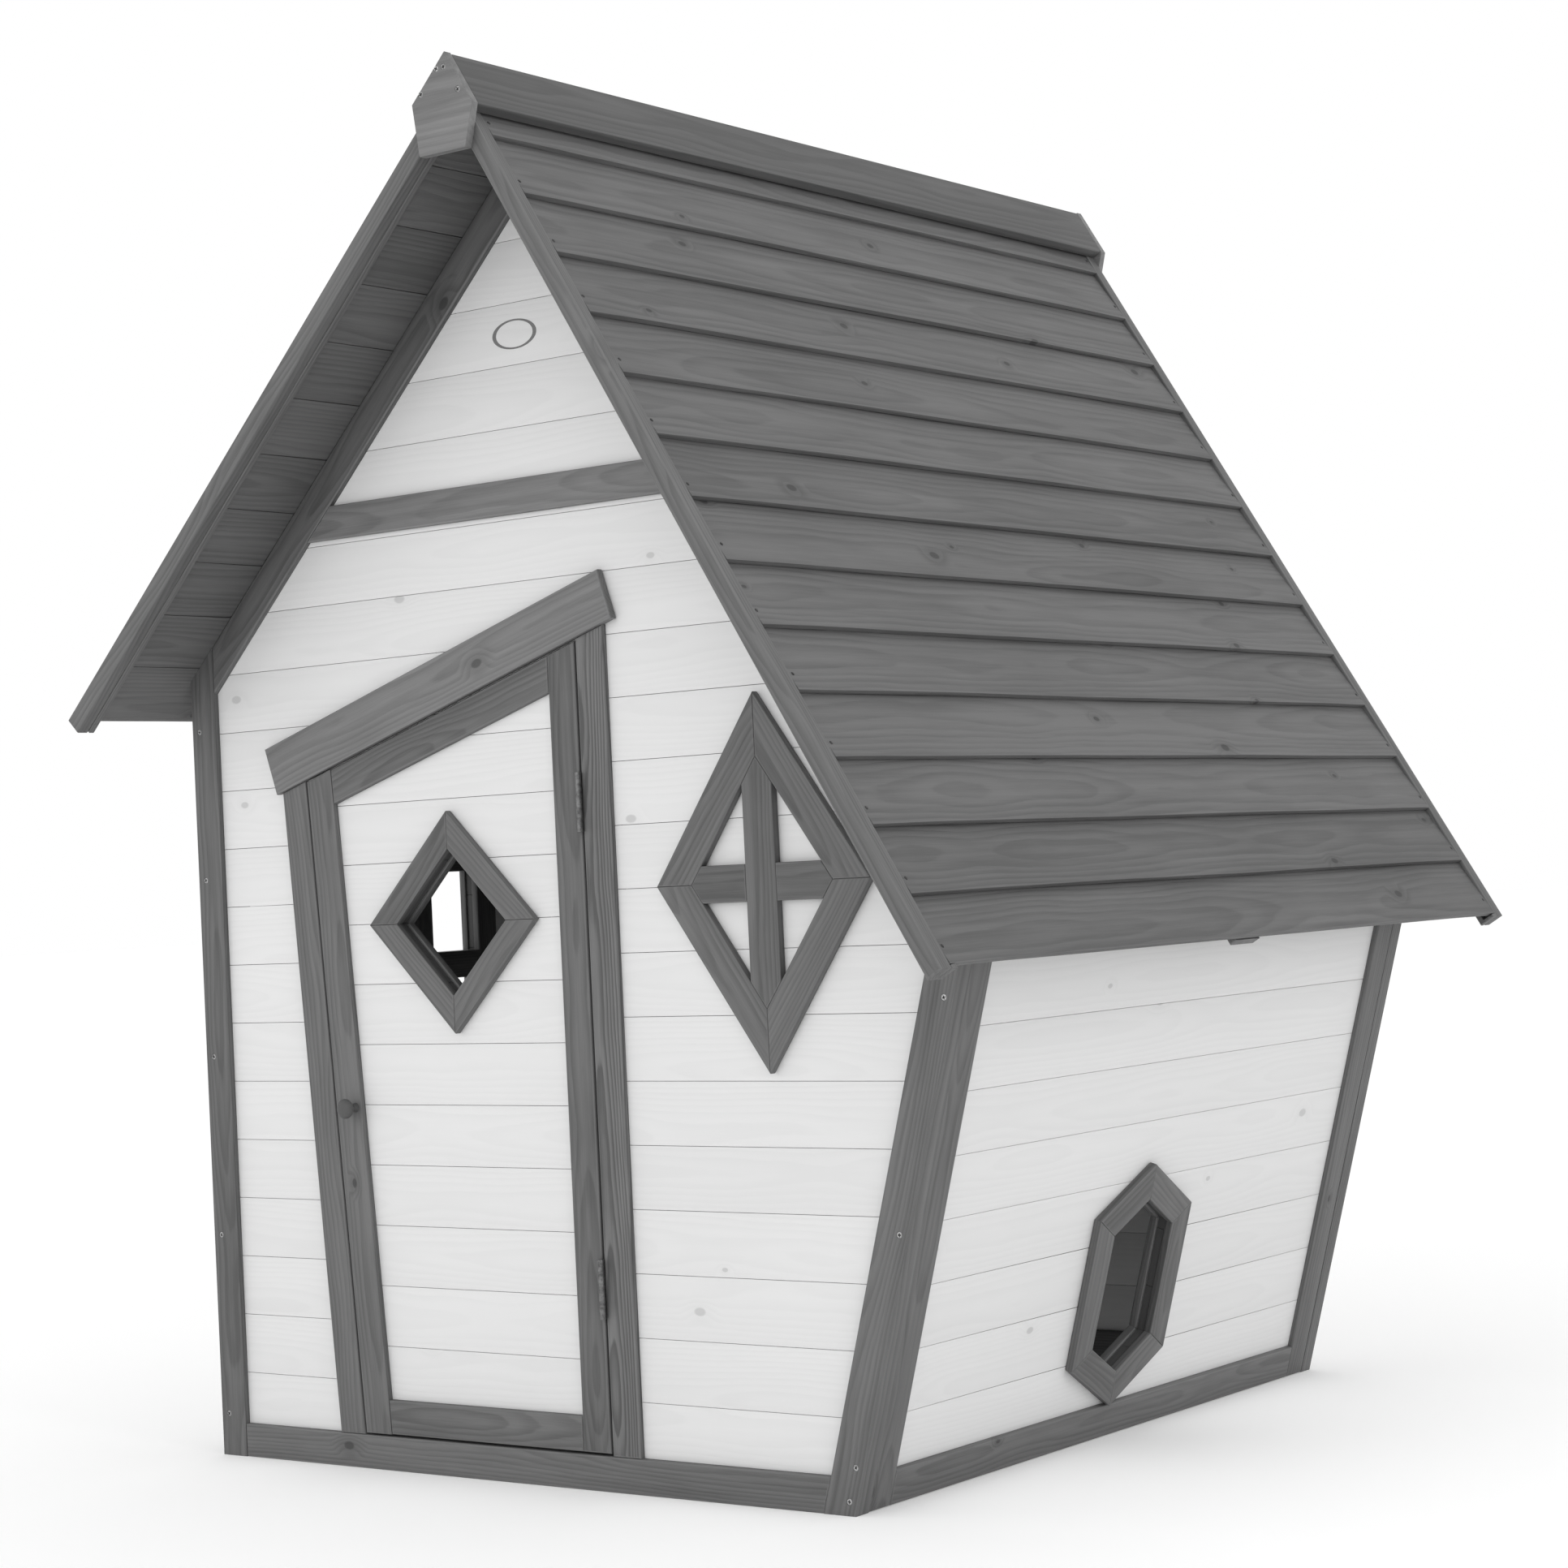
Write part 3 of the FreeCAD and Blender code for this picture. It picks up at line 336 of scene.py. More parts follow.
class Shader:
    """Short hand for a material's nodes: every call adds one node and returns its output."""

    def __init__(self, name):
        self.material = bpy.data.materials.new(name)
        self.material.use_nodes = True
        self.tree = self.material.node_tree
        self.surface = self.tree.nodes["Principled BSDF"]

    def put(self, socket, value):
        if isinstance(value, bpy.types.NodeSocket):
            self.tree.links.new(value, socket)
        else:
            socket.default_value = value

    def node(self, kind, out=0, settings=(), **inputs):
        made = self.tree.nodes.new("ShaderNode" + kind)
        for key, value in settings:
            setattr(made, key, value)
        for key, value in inputs.items():
            self.put(made.inputs[key], value)
        return made.outputs[out]

    def math(self, operation, a, b=0.0, c=0.0):
        made = self.tree.nodes.new("ShaderNodeMath")
        made.operation = operation
        for socket, value in zip(made.inputs, (a, b, c)):
            self.put(socket, value)
        return made.outputs[0]

    def vector(self, operation, a, b):
        made = self.tree.nodes.new("ShaderNodeVectorMath")
        made.operation = operation
        self.put(made.inputs[0], a)
        self.put(made.inputs[1], b)
        return made.outputs["Value"] if operation == "LENGTH" else made.outputs[0]

    def attribute(self, name, out="Vector"):
        return self.node("Attribute", out, [("attribute_name", name)])

    def noise(self, vector, scale, detail=3.0, roughness=0.55):
        return self.node("TexNoise", 0, Vector=vector, Scale=scale, Detail=detail, Roughness=roughness)

    def ramp(self, value, low, high, to_low=0.0, to_high=1.0):
        made = self.tree.nodes.new("ShaderNodeMapRange")
        made.interpolation_type = "SMOOTHSTEP"
        for socket, setting in zip(made.inputs, (value, low, high, to_low, to_high)):
            self.put(socket, setting)
        return made.outputs[0]

    def mix(self, share, a, b):
        made = self.tree.nodes.new("ShaderNodeMix")
        made.data_type = "RGBA"
        self.put(made.inputs[0], share)
        self.put(made.inputs[6], a)
        self.put(made.inputs[7], b)
        return made.outputs[2]

    def finish(self, color, roughness, height, bump):
        self.put(self.surface.inputs["Base Color"], color)
        self.put(self.surface.inputs["Roughness"], roughness)
        made = self.tree.nodes.new("ShaderNodeBump")
        made.inputs["Distance"].default_value = bump
        self.put(made.inputs["Height"], height)
        self.tree.links.new(made.outputs[0], self.surface.inputs["Normal"])
        return self.material


KNOT_ROWS = 11.0
KNOT_LAYERS = 3.0
KNOT_RADIUS = 0.0025
KNOT_VARIES = 0.004
KNOT_PUSH = 0.007
HEART_ASIDE = 0.03
HEART_BELOW = 0.035
RING_SWAY = 0.055
RING_WOBBLE = 0.0022
# near-black tone of the painted shade on the boards' cut edges in the window openings
EDGE_SHADE_TONE = 0.07


def stained_wood(name, early, late, knot, worn_and_lit, ring_pitch, ring_share, streak_share, knots_per_metre,
                 plank_share, roughness, bump, knot_odds=0.38, halo_share=0.35):
    """Sawn softwood under a stain: growth rings round a heart beside the plank, fibres and knots.

    A ring is a shell of equal distance from the heart's line, which wanders along the plank, so
    flat faces show long arches. Knots push the rings aside. Each plank has its own shade. The rounded
    arrises are painted lighter, partly as stain rubbed thin and partly as a painted highlight. The
    shares say how strongly each pattern shows.
    """
    s = Shader(name)
    grain = s.attribute("grain")
    plank = s.node("SeparateXYZ", 0, Vector=s.attribute("plank"))
    seed, shade, heart = (plank.node.outputs[i] for i in range(3))
    place = s.vector("ADD", grain, s.node("CombineXYZ", 0, X=seed, Y=s.math("MULTIPLY", seed, 0.37),
                                          Z=s.math("MULTIPLY", seed, 0.73)))
    local = s.node("SeparateXYZ", 0, Vector=grain)
    along, across, into = (local.node.outputs[i] for i in range(3))

    knot_cell = (knots_per_metre, KNOT_ROWS, KNOT_LAYERS)
    cells = s.vector("MULTIPLY", place, knot_cell)
    voronoi = s.node("TexVoronoi", 0, [("voronoi_dimensions", "2D")], Vector=cells, Scale=1.0,
                     Randomness=0.9)
    chance = voronoi.node.outputs["Color"]
    chosen = s.math("GREATER_THAN", s.node("SeparateColor", 0, Color=chance), 1 - knot_odds)
    centre = s.vector("DIVIDE", voronoi.node.outputs["Position"], knot_cell)
    off_knot = s.vector("MULTIPLY", s.vector("SUBTRACT", place, centre), (0.6, 1.0, 0.0))
    off_knot = s.vector("LENGTH", off_knot, (0, 0, 0))
    knot_radius = s.math("MULTIPLY_ADD", s.node("SeparateColor", 1, Color=chance), KNOT_VARIES, KNOT_RADIUS)
    off_knot = s.math("DIVIDE", off_knot, knot_radius)
    knot_size = s.math("MULTIPLY", chosen, s.ramp(off_knot, 0.7, 1.15, 1.0, 0.0))
    knot_halo = s.math("MULTIPLY", chosen, s.ramp(off_knot, 0.8, 4.0, 1.0, 0.0))

    wander = s.noise(s.vector("MULTIPLY", place, (1.6, 5.0, 5.0)), 1.0, 2.0)
    sway = s.math("MULTIPLY", s.math("SUBTRACT", wander, 0.5), RING_SWAY)
    wobble = s.noise(s.vector("MULTIPLY", place, (14.0, 60.0, 60.0)), 1.0, 2.0)
    wobble = s.math("MULTIPLY", wobble, RING_WOBBLE)
    aside = s.math("ADD", across, s.math("MULTIPLY", heart, HEART_ASIDE))
    below = s.math("ADD", s.math("ADD", into, HEART_BELOW), sway)
    radius = s.math("ADD", s.math("MULTIPLY", aside, aside), s.math("MULTIPLY", below, below))
    radius = s.math("SQRT", radius)
    radius = s.math("ADD", radius, s.math("ADD", wobble, s.math("MULTIPLY", knot_halo, KNOT_PUSH)))
    ring = s.math("FRACT", s.math("DIVIDE", radius, ring_pitch))
    late_wood = s.math("MULTIPLY", s.ramp(ring, 0.15, 0.86), s.ramp(ring, 0.86, 1.0, 1.0, 0.0))

    streak = s.noise(s.vector("MULTIPLY", place, (2.2, 90.0, 90.0)), 1.0, 4.0, 0.6)
    fibre = s.noise(s.vector("MULTIPLY", place, (22.0, 900.0, 900.0)), 1.0, 2.0, 0.6)
    blotch = s.noise(s.vector("MULTIPLY", place, (3.0, 10.0, 10.0)), 1.0, 3.0)

    share = s.math("MULTIPLY", late_wood, ring_share)
    share = s.math("ADD", share, s.math("MULTIPLY", s.math("SUBTRACT", streak, 0.5), streak_share))
    share = s.math("ADD", share, s.math("MULTIPLY", s.math("SUBTRACT", fibre, 0.5), streak_share * 0.5))
    share = s.math("ADD", share, s.math("MULTIPLY", s.math("SUBTRACT", blotch, 0.5), streak_share * 0.9))
    share = s.math("ADD", share, s.math("MULTIPLY", shade, plank_share))
    share = s.math("ADD", share, 0.3)
    color = s.mix(share, grey(early), grey(late))
    color = s.mix(s.math("MULTIPLY", knot_halo, halo_share), color, grey(0.5 * (late + knot)))
    color = s.mix(s.math("MULTIPLY", knot_size, 0.9), color, grey(knot))
    # painted shade: board edges in the window openings take a near-black tone from this attribute, in place
    # of the shade in the recess
    color = s.mix(s.attribute("painted_edge_shade", "Fac"), color, grey(EDGE_SHADE_TONE))
    # wear and painted highlight: the rounded arrises are painted lighter, partly for stain rubbed thin and
    # partly as a highlight on the rounds
    rubbed_and_lit = s.math("MULTIPLY", s.attribute("wear", "Fac"), s.ramp(streak, 0.35, 0.65, 0.25, 0.8))
    color = s.mix(rubbed_and_lit, color, grey(worn_and_lit))
    rough = s.math("ADD", s.math("MULTIPLY", streak, 0.16), roughness - 0.08)
    height = s.math("ADD", s.math("MULTIPLY", fibre, 0.5), s.math("MULTIPLY", late_wood, 0.5))
    height = s.math("SUBTRACT", height, s.math("MULTIPLY", knot_size, 0.5))
    return s.finish(color, rough, height, bump)


FRONT = np.array([0.0, -1.0, 0.0])
BACK = np.array([0.0, 1.0, 0.0])
LEFT = np.array([-1.0, 0.0, 0.0])
lean_points, lean_triangles = triangles_of("right_wall_rails")
lean_sides = np.cross(lean_points[lean_triangles[:, 1]] - lean_points[lean_triangles[:, 0]],
                      lean_points[lean_triangles[:, 2]] - lean_points[lean_triangles[:, 0]])
RIGHT = lean_sides[np.argmax(lean_sides[:, 0])]
RIGHT /= np.linalg.norm(RIGHT)

frame_stain = stained_wood("grey_frame_stain", early=0.14, late=0.07, knot=0.035, worn_and_lit=0.17,
                           ring_pitch=0.0042, ring_share=0.4, streak_share=1.2, knots_per_metre=2.2,
                           plank_share=0.16, roughness=0.58, bump=0.00025)
light_stain = stained_wood("light_grey_stain", early=0.195, late=0.11, knot=0.06, worn_and_lit=0.23,
                           ring_pitch=0.0042, ring_share=0.35, streak_share=1.1, knots_per_metre=2.2,
                           plank_share=0.16, roughness=0.58, bump=0.00025)
rng = np.random.default_rng(11)
GABLE_PANEL = ("left_post", "right_post", "bottom_rail", "left_gable_trim", "right_gable_trim", "crossbeam")
SIDE_PANEL = ("stiles", "rails")
for wall, outward, members in (("front", FRONT, GABLE_PANEL), ("back", BACK, GABLE_PANEL),
                               ("left_wall", LEFT, SIDE_PANEL), ("right_wall", RIGHT, SIDE_PANEL)):
    for member in members:
        node = f"{wall}_{member}"
        stain = light_stain if member == "crossbeam" else frame_stain
        timber(node, outlines_of(node, outward), outward, stain, "house", rng)

# ---- Wall boards -----------------------------------------------------------------------------
# The panels are filled with level tongued boards, planed smooth and stained almost white. The
# joints show as hair lines, and knots and arches of grain show faintly through the stain.

BOARD_ROUND = 0.0004

board_stain = stained_wood("white_board_stain", early=0.725, late=0.685, knot=0.52, worn_and_lit=0.7,
                           ring_pitch=0.006, ring_share=0.45, streak_share=0.7, knots_per_metre=1.6,
                           plank_share=0.25, roughness=0.62, bump=0.0001, knot_odds=0.3,
                           halo_share=0.14)
BOARDS = [("front_boards_left", FRONT, "house"), ("front_boards_right", FRONT, "house"),
          ("front_boards_over_door", FRONT, "house"), ("front_boards_gable", FRONT, "house"),
          ("back_boards", BACK, "house"), ("left_wall_boards", LEFT, "house"),
          ("right_wall_boards", RIGHT, "house"), ("door_boards", FRONT, "door")]
WINDOW_OF = {"door_boards": "door_window_frame", "left_wall_boards": "left_window_frame",
             "right_wall_boards": "right_window_frame"}
for node, outward, body in BOARDS:
    level = np.cross(outward, (0.0, 0.0, 1.0))
    piece = timber(node, outlines_of(node, outward), outward, board_stain, body, rng, radius=BOARD_ROUND,
                   grain=level / np.linalg.norm(level))
    if node in WINDOW_OF:
        # painted shade: the cut edges in the window openings are painted near black, for the shade that
        # falls in the recess between the frames
        places = point_places(piece.data)
        low, high = (np.array(corner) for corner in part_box(WINDOW_OF[node]))
        in_plane = [0, 2] if abs(outward[1]) > 0.5 else [1, 2]
        dark = ((places > low) & (places < high))[:, in_plane].all(axis=1)
        depth = places @ outward
        dark &= (depth < depth.max() - BOARD_ROUND / 2) & (depth > depth.min() + BOARD_ROUND / 2)
        painted_edge_shade = piece.data.attributes.new("painted_edge_shade", "FLOAT", "POINT")
        painted_edge_shade.data.foreach_set("value", dark.astype(np.float32))

# ---- Window frames and the applied diamond ---------------------------------------------------
# Flat stained strips, mitred at the corners and pinned over the boards, in front of each window
# and again behind it. The diamond on the front wall is only applied, with bars across it.

STRIP_ROUND = 0.002


def ring_of(node, outward):
    """Members of a mitred ring: the outer and inner corners of its face, paired up by direction."""
    points, triangles = triangles_of(node)
    depth = points @ outward
    face = points[depth > depth.max() - FACE_DEPTH]
    sideways = np.cross((0.0, 0.0, 1.0), outward)
    sideways /= np.linalg.norm(sideways)
    upwards = np.cross(outward, sideways)
    middle = (face.max(axis=0) + face.min(axis=0)) / 2
    flat = (face - middle) @ np.array([sideways, upwards]).T
    turn = np.arctan2(flat[:, 1], flat[:, 0])
    face, flat = face[np.argsort(turn)], flat[np.argsort(turn)]
    far = np.linalg.norm(flat, axis=1) > radial_limit(flat)
    outer, inner = face[far], face[~far]
    thickness = depth.max() - depth.min()
    members = []
    for i in range(len(outer)):
        j = (i + 1) % len(outer)
        members.append(([np.array([outer[i], outer[j], inner[j], inner[i]])], thickness))
    return members


def radial_limit(flat):
    """Half of the corners lie further out than this, one for each direction."""
    reach = np.linalg.norm(flat, axis=1)
    turn = np.arctan2(flat[:, 1], flat[:, 0])
    nearest = np.argsort(np.abs(np.angle(np.exp(1j * (turn[:, None] - turn[None, :])))), axis=1)[:, 1]
    return (reach + reach[nearest]) / 2


RINGS = [("door_window_frame", FRONT, "door"), ("door_window_inner_frame", FRONT, "door"),
         ("front_diamond_frame", FRONT, "house"),
         ("left_window_frame", LEFT, "house"), ("left_window_inner_frame", LEFT, "house"),
         ("right_window_frame", RIGHT, "house"), ("right_window_inner_frame", RIGHT, "house")]
for node, outward, body in RINGS:
    timber(node, ring_of(node, outward), outward, frame_stain, body, rng, radius=STRIP_ROUND)
for node, outward in (("front_diamond_bars", FRONT), ("left_window_bar", LEFT)):
    timber(node, outlines_of(node, outward), outward, frame_stain, "house", rng, radius=STRIP_ROUND)

# ---- Door ------------------------------------------------------------------------------------
# A leaning frame of four stained members with the same pale boards, hung in a pair of jambs under
# a sloping header. The leaf's head is planed down towards the back, to clear the header.

ribbed_stain = stained_wood("ribbed_grey_stain", early=0.16, late=0.07, knot=0.04, worn_and_lit=0.2,
                            ring_pitch=0.0034, ring_share=0.85, streak_share=1.2, knots_per_metre=3.0,
                            plank_share=0.1, roughness=0.58, bump=0.0004)
for node, stain in (("door_left_jamb", frame_stain), ("door_right_jamb", ribbed_stain),
                    ("door_stop", frame_stain), ("door_header", light_stain)):
    timber(node, outlines_of(node, FRONT), FRONT, stain, "house", rng)


def head_edge(loop, outward):
    """The two ends of the edge of a loop that faces most nearly upwards."""
    edges = np.roll(loop, -1, axis=0) - loop
    facing = np.cross(edges, outward)[:, 2] / np.linalg.norm(edges, axis=1)
    first = np.argmax(facing)
    return loop[first], loop[(first + 1) % len(loop)]


for node in ("door_latch_stile", "door_hinge_stile", "door_top_rail", "door_bottom_rail"):
    piece = timber(node, outlines_of(node, FRONT), FRONT, frame_stain, "door", rng)
    (front_loops, _), = outlines_of(node, FRONT)
    (back_loops, _), = outlines_of(node, BACK)
    start, end = head_edge(front_loops[0], FRONT)
    behind = head_edge(back_loops[0], BACK)[0]
    slant = np.cross(end - start, behind - start)
    places = point_places(piece.data)
    planed = start[2] - ((places[:, :2] - start[:2]) @ slant[:2]) / slant[2]
    places[:, 2] = np.minimum(places[:, 2], planed)
    piece.data.vertices.foreach_set("co", places.ravel())

# ---- Barge boards and mid battens ------------------------------------------------------------
# A stout stained board runs up each slope at the front and the back. Its inner side is rabbeted,
# so that the roof boards' ends lie on a ledge behind a lip. Battens carry the boards half way.

BARGE_ROUND = 0.0032
LEDGE_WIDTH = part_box("front_left_barge_board")[1].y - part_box("left_roof_boards")[0].y
for wall, outward in (("front", FRONT), ("back", BACK)):
    for side in ("left", "right"):
        node = f"{wall}_{side}_barge_board"
        (outer, whole), = outlines_of(node, outward)
        (inner, _), = outlines_of(node, -outward)
        lip = (outer, whole - LEDGE_WIDTH)
        ledge = ([inner[0][::-1] + LEDGE_WIDTH * outward], LEDGE_WIDTH)
        timber(node, [lip, ledge], outward, frame_stain, "house", rng, radius=BARGE_ROUND,
               grain=longest_edge(outer[0]))
timber("roof_mid_battens", outlines_of("roof_mid_battens", FRONT), FRONT, frame_stain, "house", rng)

# ---- Roof boards -----------------------------------------------------------------------------
# Sawn boards laid level up each slope, every one lapping the one below and nailed through it.
# They are stained dark grey. Drying has bowed them a little, so the laps gape unevenly.

ROOF_ROUND = 0.0009
ROOF_ROWS = 60
LAP_GAPE = 0.0014
LAP_WANDER = 0.0012
UNDER_RIDGE = 0.08


def rounded_corners(corners, radius, steps=4):
    """A polygon with each corner replaced by a quadratic curve between two points beside it."""
    ahead = np.roll(corners, -1, axis=0) - corners
    behind = np.roll(corners, 1, axis=0) - corners
    reach_ahead = np.linalg.norm(ahead, axis=1)[:, None]
    reach_behind = np.linalg.norm(behind, axis=1)[:, None]
    start = corners + behind / reach_behind * np.minimum(radius, 0.4 * reach_behind)
    end = corners + ahead / reach_ahead * np.minimum(radius, 0.4 * reach_ahead)
    t = np.linspace(0, 1, steps)[None, :, None]
    curve = (1 - t) ** 2 * start[:, None] + 2 * t * (1 - t) * corners[:, None] + t ** 2 * end[:, None]
    # how much the rounds are painted lighter, for wear and as a painted highlight
    worn_and_lit = np.tile(np.sin(np.linspace(0, math.pi, steps)), len(corners))
    return curve.reshape(-1, 3), worn_and_lit


def long_board(section, run, radius, rows, lift, slide, upward):
    """A rounded section carried along a run, with its ends rounded by shrinking the section.

    lift(s) raises the section's low edge square to the board, and slide(s) moves that edge along
    the slope. Both fade to nothing at the high edge. Returns points, faces, how much wear and
    painted highlight each point's arris gets, and its place along, up and out of the board.
    """
    outline, worn_and_lit = rounded_corners(section, radius)
    low = section[np.argmin(section[:, 2])]
    high = section[np.argmax(section[:, 2])]
    rise = (high - low) - ((high - low) @ upward) * upward
    slope = rise / np.linalg.norm(rise)
    share = np.clip(1 - (outline - low) @ slope / np.linalg.norm(rise), 0, 1)
    turn = np.linspace(0, math.pi / 2, ARRIS_STEPS)
    length = np.linalg.norm(run)
    ends = radius * (1 - np.cos(turn)) / length
    s = np.concatenate([ends, np.linspace(0, 1, rows)[1:-1], 1 - ends[::-1]])
    shrink = radius * (1 - np.sin(turn))
    shrink = np.concatenate([shrink, np.zeros(rows - 2), shrink[::-1]])
    middle = outline.mean(axis=0)
    spoke = outline - middle
    spoke /= np.linalg.norm(spoke, axis=1)[:, None]
    points = outline[None] + s[:, None, None] * run - shrink[:, None, None] * spoke
    points = points + (lift(s)[:, None] * share ** 1.5)[..., None] * upward
    points = points + (slide(s)[:, None] * share ** 3)[..., None] * slope
    points = points.reshape(-1, 3)
    number = np.arange(len(points)).reshape(len(s), -1)
    faces = skin(number) + [number[0].tolist(), number[-1][::-1].tolist()]
    axes = np.array([run / length, slope, upward])
    return points, faces, np.tile(worn_and_lit, len(s)), (points - middle) @ axes.T


def slow_wave(rng, size):
    """Three long waves with random heights, at or above zero, and zero where the ends are nailed."""
    height = rng.uniform(0.2, 1.0, 3)
    phase = rng.uniform(0, 2 * math.pi, 3)
    count = rng.uniform(0.5, 3.2, 3)

    def wave(s):
        waves = (height * np.sin(2 * math.pi * count * s[:, None] + phase)).sum(axis=1)
        held = np.clip(12 * s * (1 - s), 0, 1)
        return size * held * np.clip(0.5 + waves / (2 * height.sum()), 0, 1)
    return wave


def long_boards(node, material, radius, rows, gape, wander):
    """One object for boards that run from the front to the back, from the node's end outlines."""
    pieces, wear, local, plank = [], [], [], []
    for loops, length in outlines_of(node, FRONT):
        section = loops[0]
        upward = np.cross(longest_edge(section), FRONT)
        upward = upward if upward[2] > 0 else -upward
        top = section[:, 2].max() > ridge_line[2] - UNDER_RIDGE
        lift = slow_wave(rng, 0.0 if top else gape)
        slide = slow_wave(rng, wander)
        points, faces, worn_and_lit, places = long_board(section, length * BACK, radius, rows, lift, slide, upward)
        pieces.append((points, faces))
        wear.append(worn_and_lit)
        local.append(places)
        plank.append(plank_numbers(rng, len(points)))
    return surface_piece(node, *merged(pieces), material, "house", wear=np.concatenate(wear),
                         grain=np.concatenate(local), plank=np.concatenate(plank))


ridge_points, _ = triangles_of("left_ridge_board")
ridge_line = ridge_points[np.argmax(ridge_points[:, 2])]
roof_stain = stained_wood("dark_roof_stain", early=0.125, late=0.074, knot=0.028, worn_and_lit=0.13,
                          ring_pitch=0.0065, ring_share=0.4, streak_share=1.2, knots_per_metre=2.6,
                          plank_share=0.2, roughness=0.6, bump=0.0004)
for node in ("left_roof_boards", "right_roof_boards"):
    long_boards(node, roof_stain, ROOF_ROUND, ROOF_ROWS, LAP_GAPE, LAP_WANDER)

# ---- Ridge boards and their end caps ---------------------------------------------------------
# Two thicker boards meet in a mitre over the ridge, stained darker than the roof. A five-sided
# plate closes them at each end, put on with four countersunk screws.

RIDGE_ROUND = 0.003
RIDGE_ROWS = 12
CAP_ROUND = 0.002

ridge_stain = stained_wood("dark_ridge_stain", early=0.088, late=0.06, knot=0.03, worn_and_lit=0.12,
                           ring_pitch=0.007, ring_share=0.7, streak_share=1.1, knots_per_metre=2.0,
                           plank_share=0.1, roughness=0.55, bump=0.0003)
cap_stain = stained_wood("cap_plate_stain", early=0.2, late=0.1, knot=0.06, worn_and_lit=0.2, ring_pitch=0.008,
                         ring_share=0.2, streak_share=1.2, knots_per_metre=1.0, plank_share=0.1,
                         roughness=0.58, bump=0.0003)
for node in ("left_ridge_board", "right_ridge_board"):
    long_boards(node, ridge_stain, RIDGE_ROUND, RIDGE_ROWS, 0.0, 0.0)
for node, outward in (("front_ridge_cap", FRONT), ("back_ridge_cap", BACK)):
    timber(node, outlines_of(node, outward), outward, cap_stain, "house", rng, radius=CAP_ROUND,
           grain=np.array([1.0, 0.0, 0.0]))

# ---- Screws and nails ------------------------------------------------------------------------
# Zinc-plated countersunk screws with a cross recess hold the frames, the caps and the knob, all
# driven just below the surface. Every roof board is nailed near each end to the barge boards.

SCREW_SIDES = 28
SCREW_SUNK = 0.0003
RIM_DROP = 0.0004
CROSS_WIDE = 0.0011
CROSS_REACH = 0.0024
CROSS_DEEP = 0.0016
NAIL_SIDES = 14
NAIL_RADIUS = 0.0027
NAIL_IN = 0.007
NAIL_UP = 0.022
NAIL_FREE = 0.1


def worn_metal(name, bright, dull, roughness):
    """Plated steel: brushed scratches, dull stains, and near-black painted shade where the attribute marks
    screw recesses.
    """
    s = Shader(name)
    place = s.node("TexCoord", 3)
    stain = s.noise(s.vector("MULTIPLY", place, (160.0, 160.0, 160.0)), 1.0, 4.0, 0.6)
    scratch = s.noise(s.vector("MULTIPLY", place, (900.0, 900.0, 90.0)), 1.0, 2.0, 0.6)
    scratched = s.math("MULTIPLY", s.math("SUBTRACT", scratch, 0.5), 0.6)
    share = s.math("ADD", s.ramp(stain, 0.35, 0.7), scratched)
    color = s.mix(share, grey(bright), grey(dull))
    dirt = s.attribute("dirt", "Fac")
    color = s.mix(s.math("MULTIPLY", dirt, 0.9), color, grey(0.012))
    s.surface.inputs["Metallic"].default_value = 0.75
    rough = s.math("ADD", s.math("MULTIPLY", stain, 0.3), roughness)
    return s.finish(color, rough, scratch, 0.00002)


def turned(profile, centre, axis, count):
    """Rings of count points round an axis, from rows of distance along the axis and radius."""
    side = np.cross(axis, (0.0, 0.0, 1.0) if abs(axis[2]) < 0.9 else (1.0, 0.0, 0.0))
    side /= np.linalg.norm(side)
    other = np.cross(axis, side)
    turn = np.arange(count) * 2 * math.pi / count
    around = np.cos(turn)[:, None] * side + np.sin(turn)[:, None] * other
    points = centre + profile[:, :1, None] * axis + profile[:, 1:, None] * around[None]
    number = np.arange(len(profile) * count).reshape(len(profile), count)
    faces = skin(number, reverse=True) + [number[0][::-1].tolist(), number[-1].tolist()]
    return points.reshape(-1, 3), faces


def screw_places(node):
    """Every screw of a node: its head's middle, outward direction, length and two radii."""
    points, triangles = triangles_of(node)
    part = solid_numbers(points, triangles)
    places = []
    for number in np.unique(part):
        own = points[part == number]
        low, high = own[:, 1].min(), own[:, 1].max()
        wide = [np.ptp(own[np.abs(own[:, 1] - y) < FACE_DEPTH][:, 0]) for y in (low, high)]
        front = wide[0] > wide[1]
        middle = (own.max(axis=0) + own.min(axis=0)) / 2
        places.append((np.array([middle[0], low if front else high, middle[2]]), FRONT if front else BACK,
                       high - low, max(wide) / 2, min(wide) / 2))
    return places


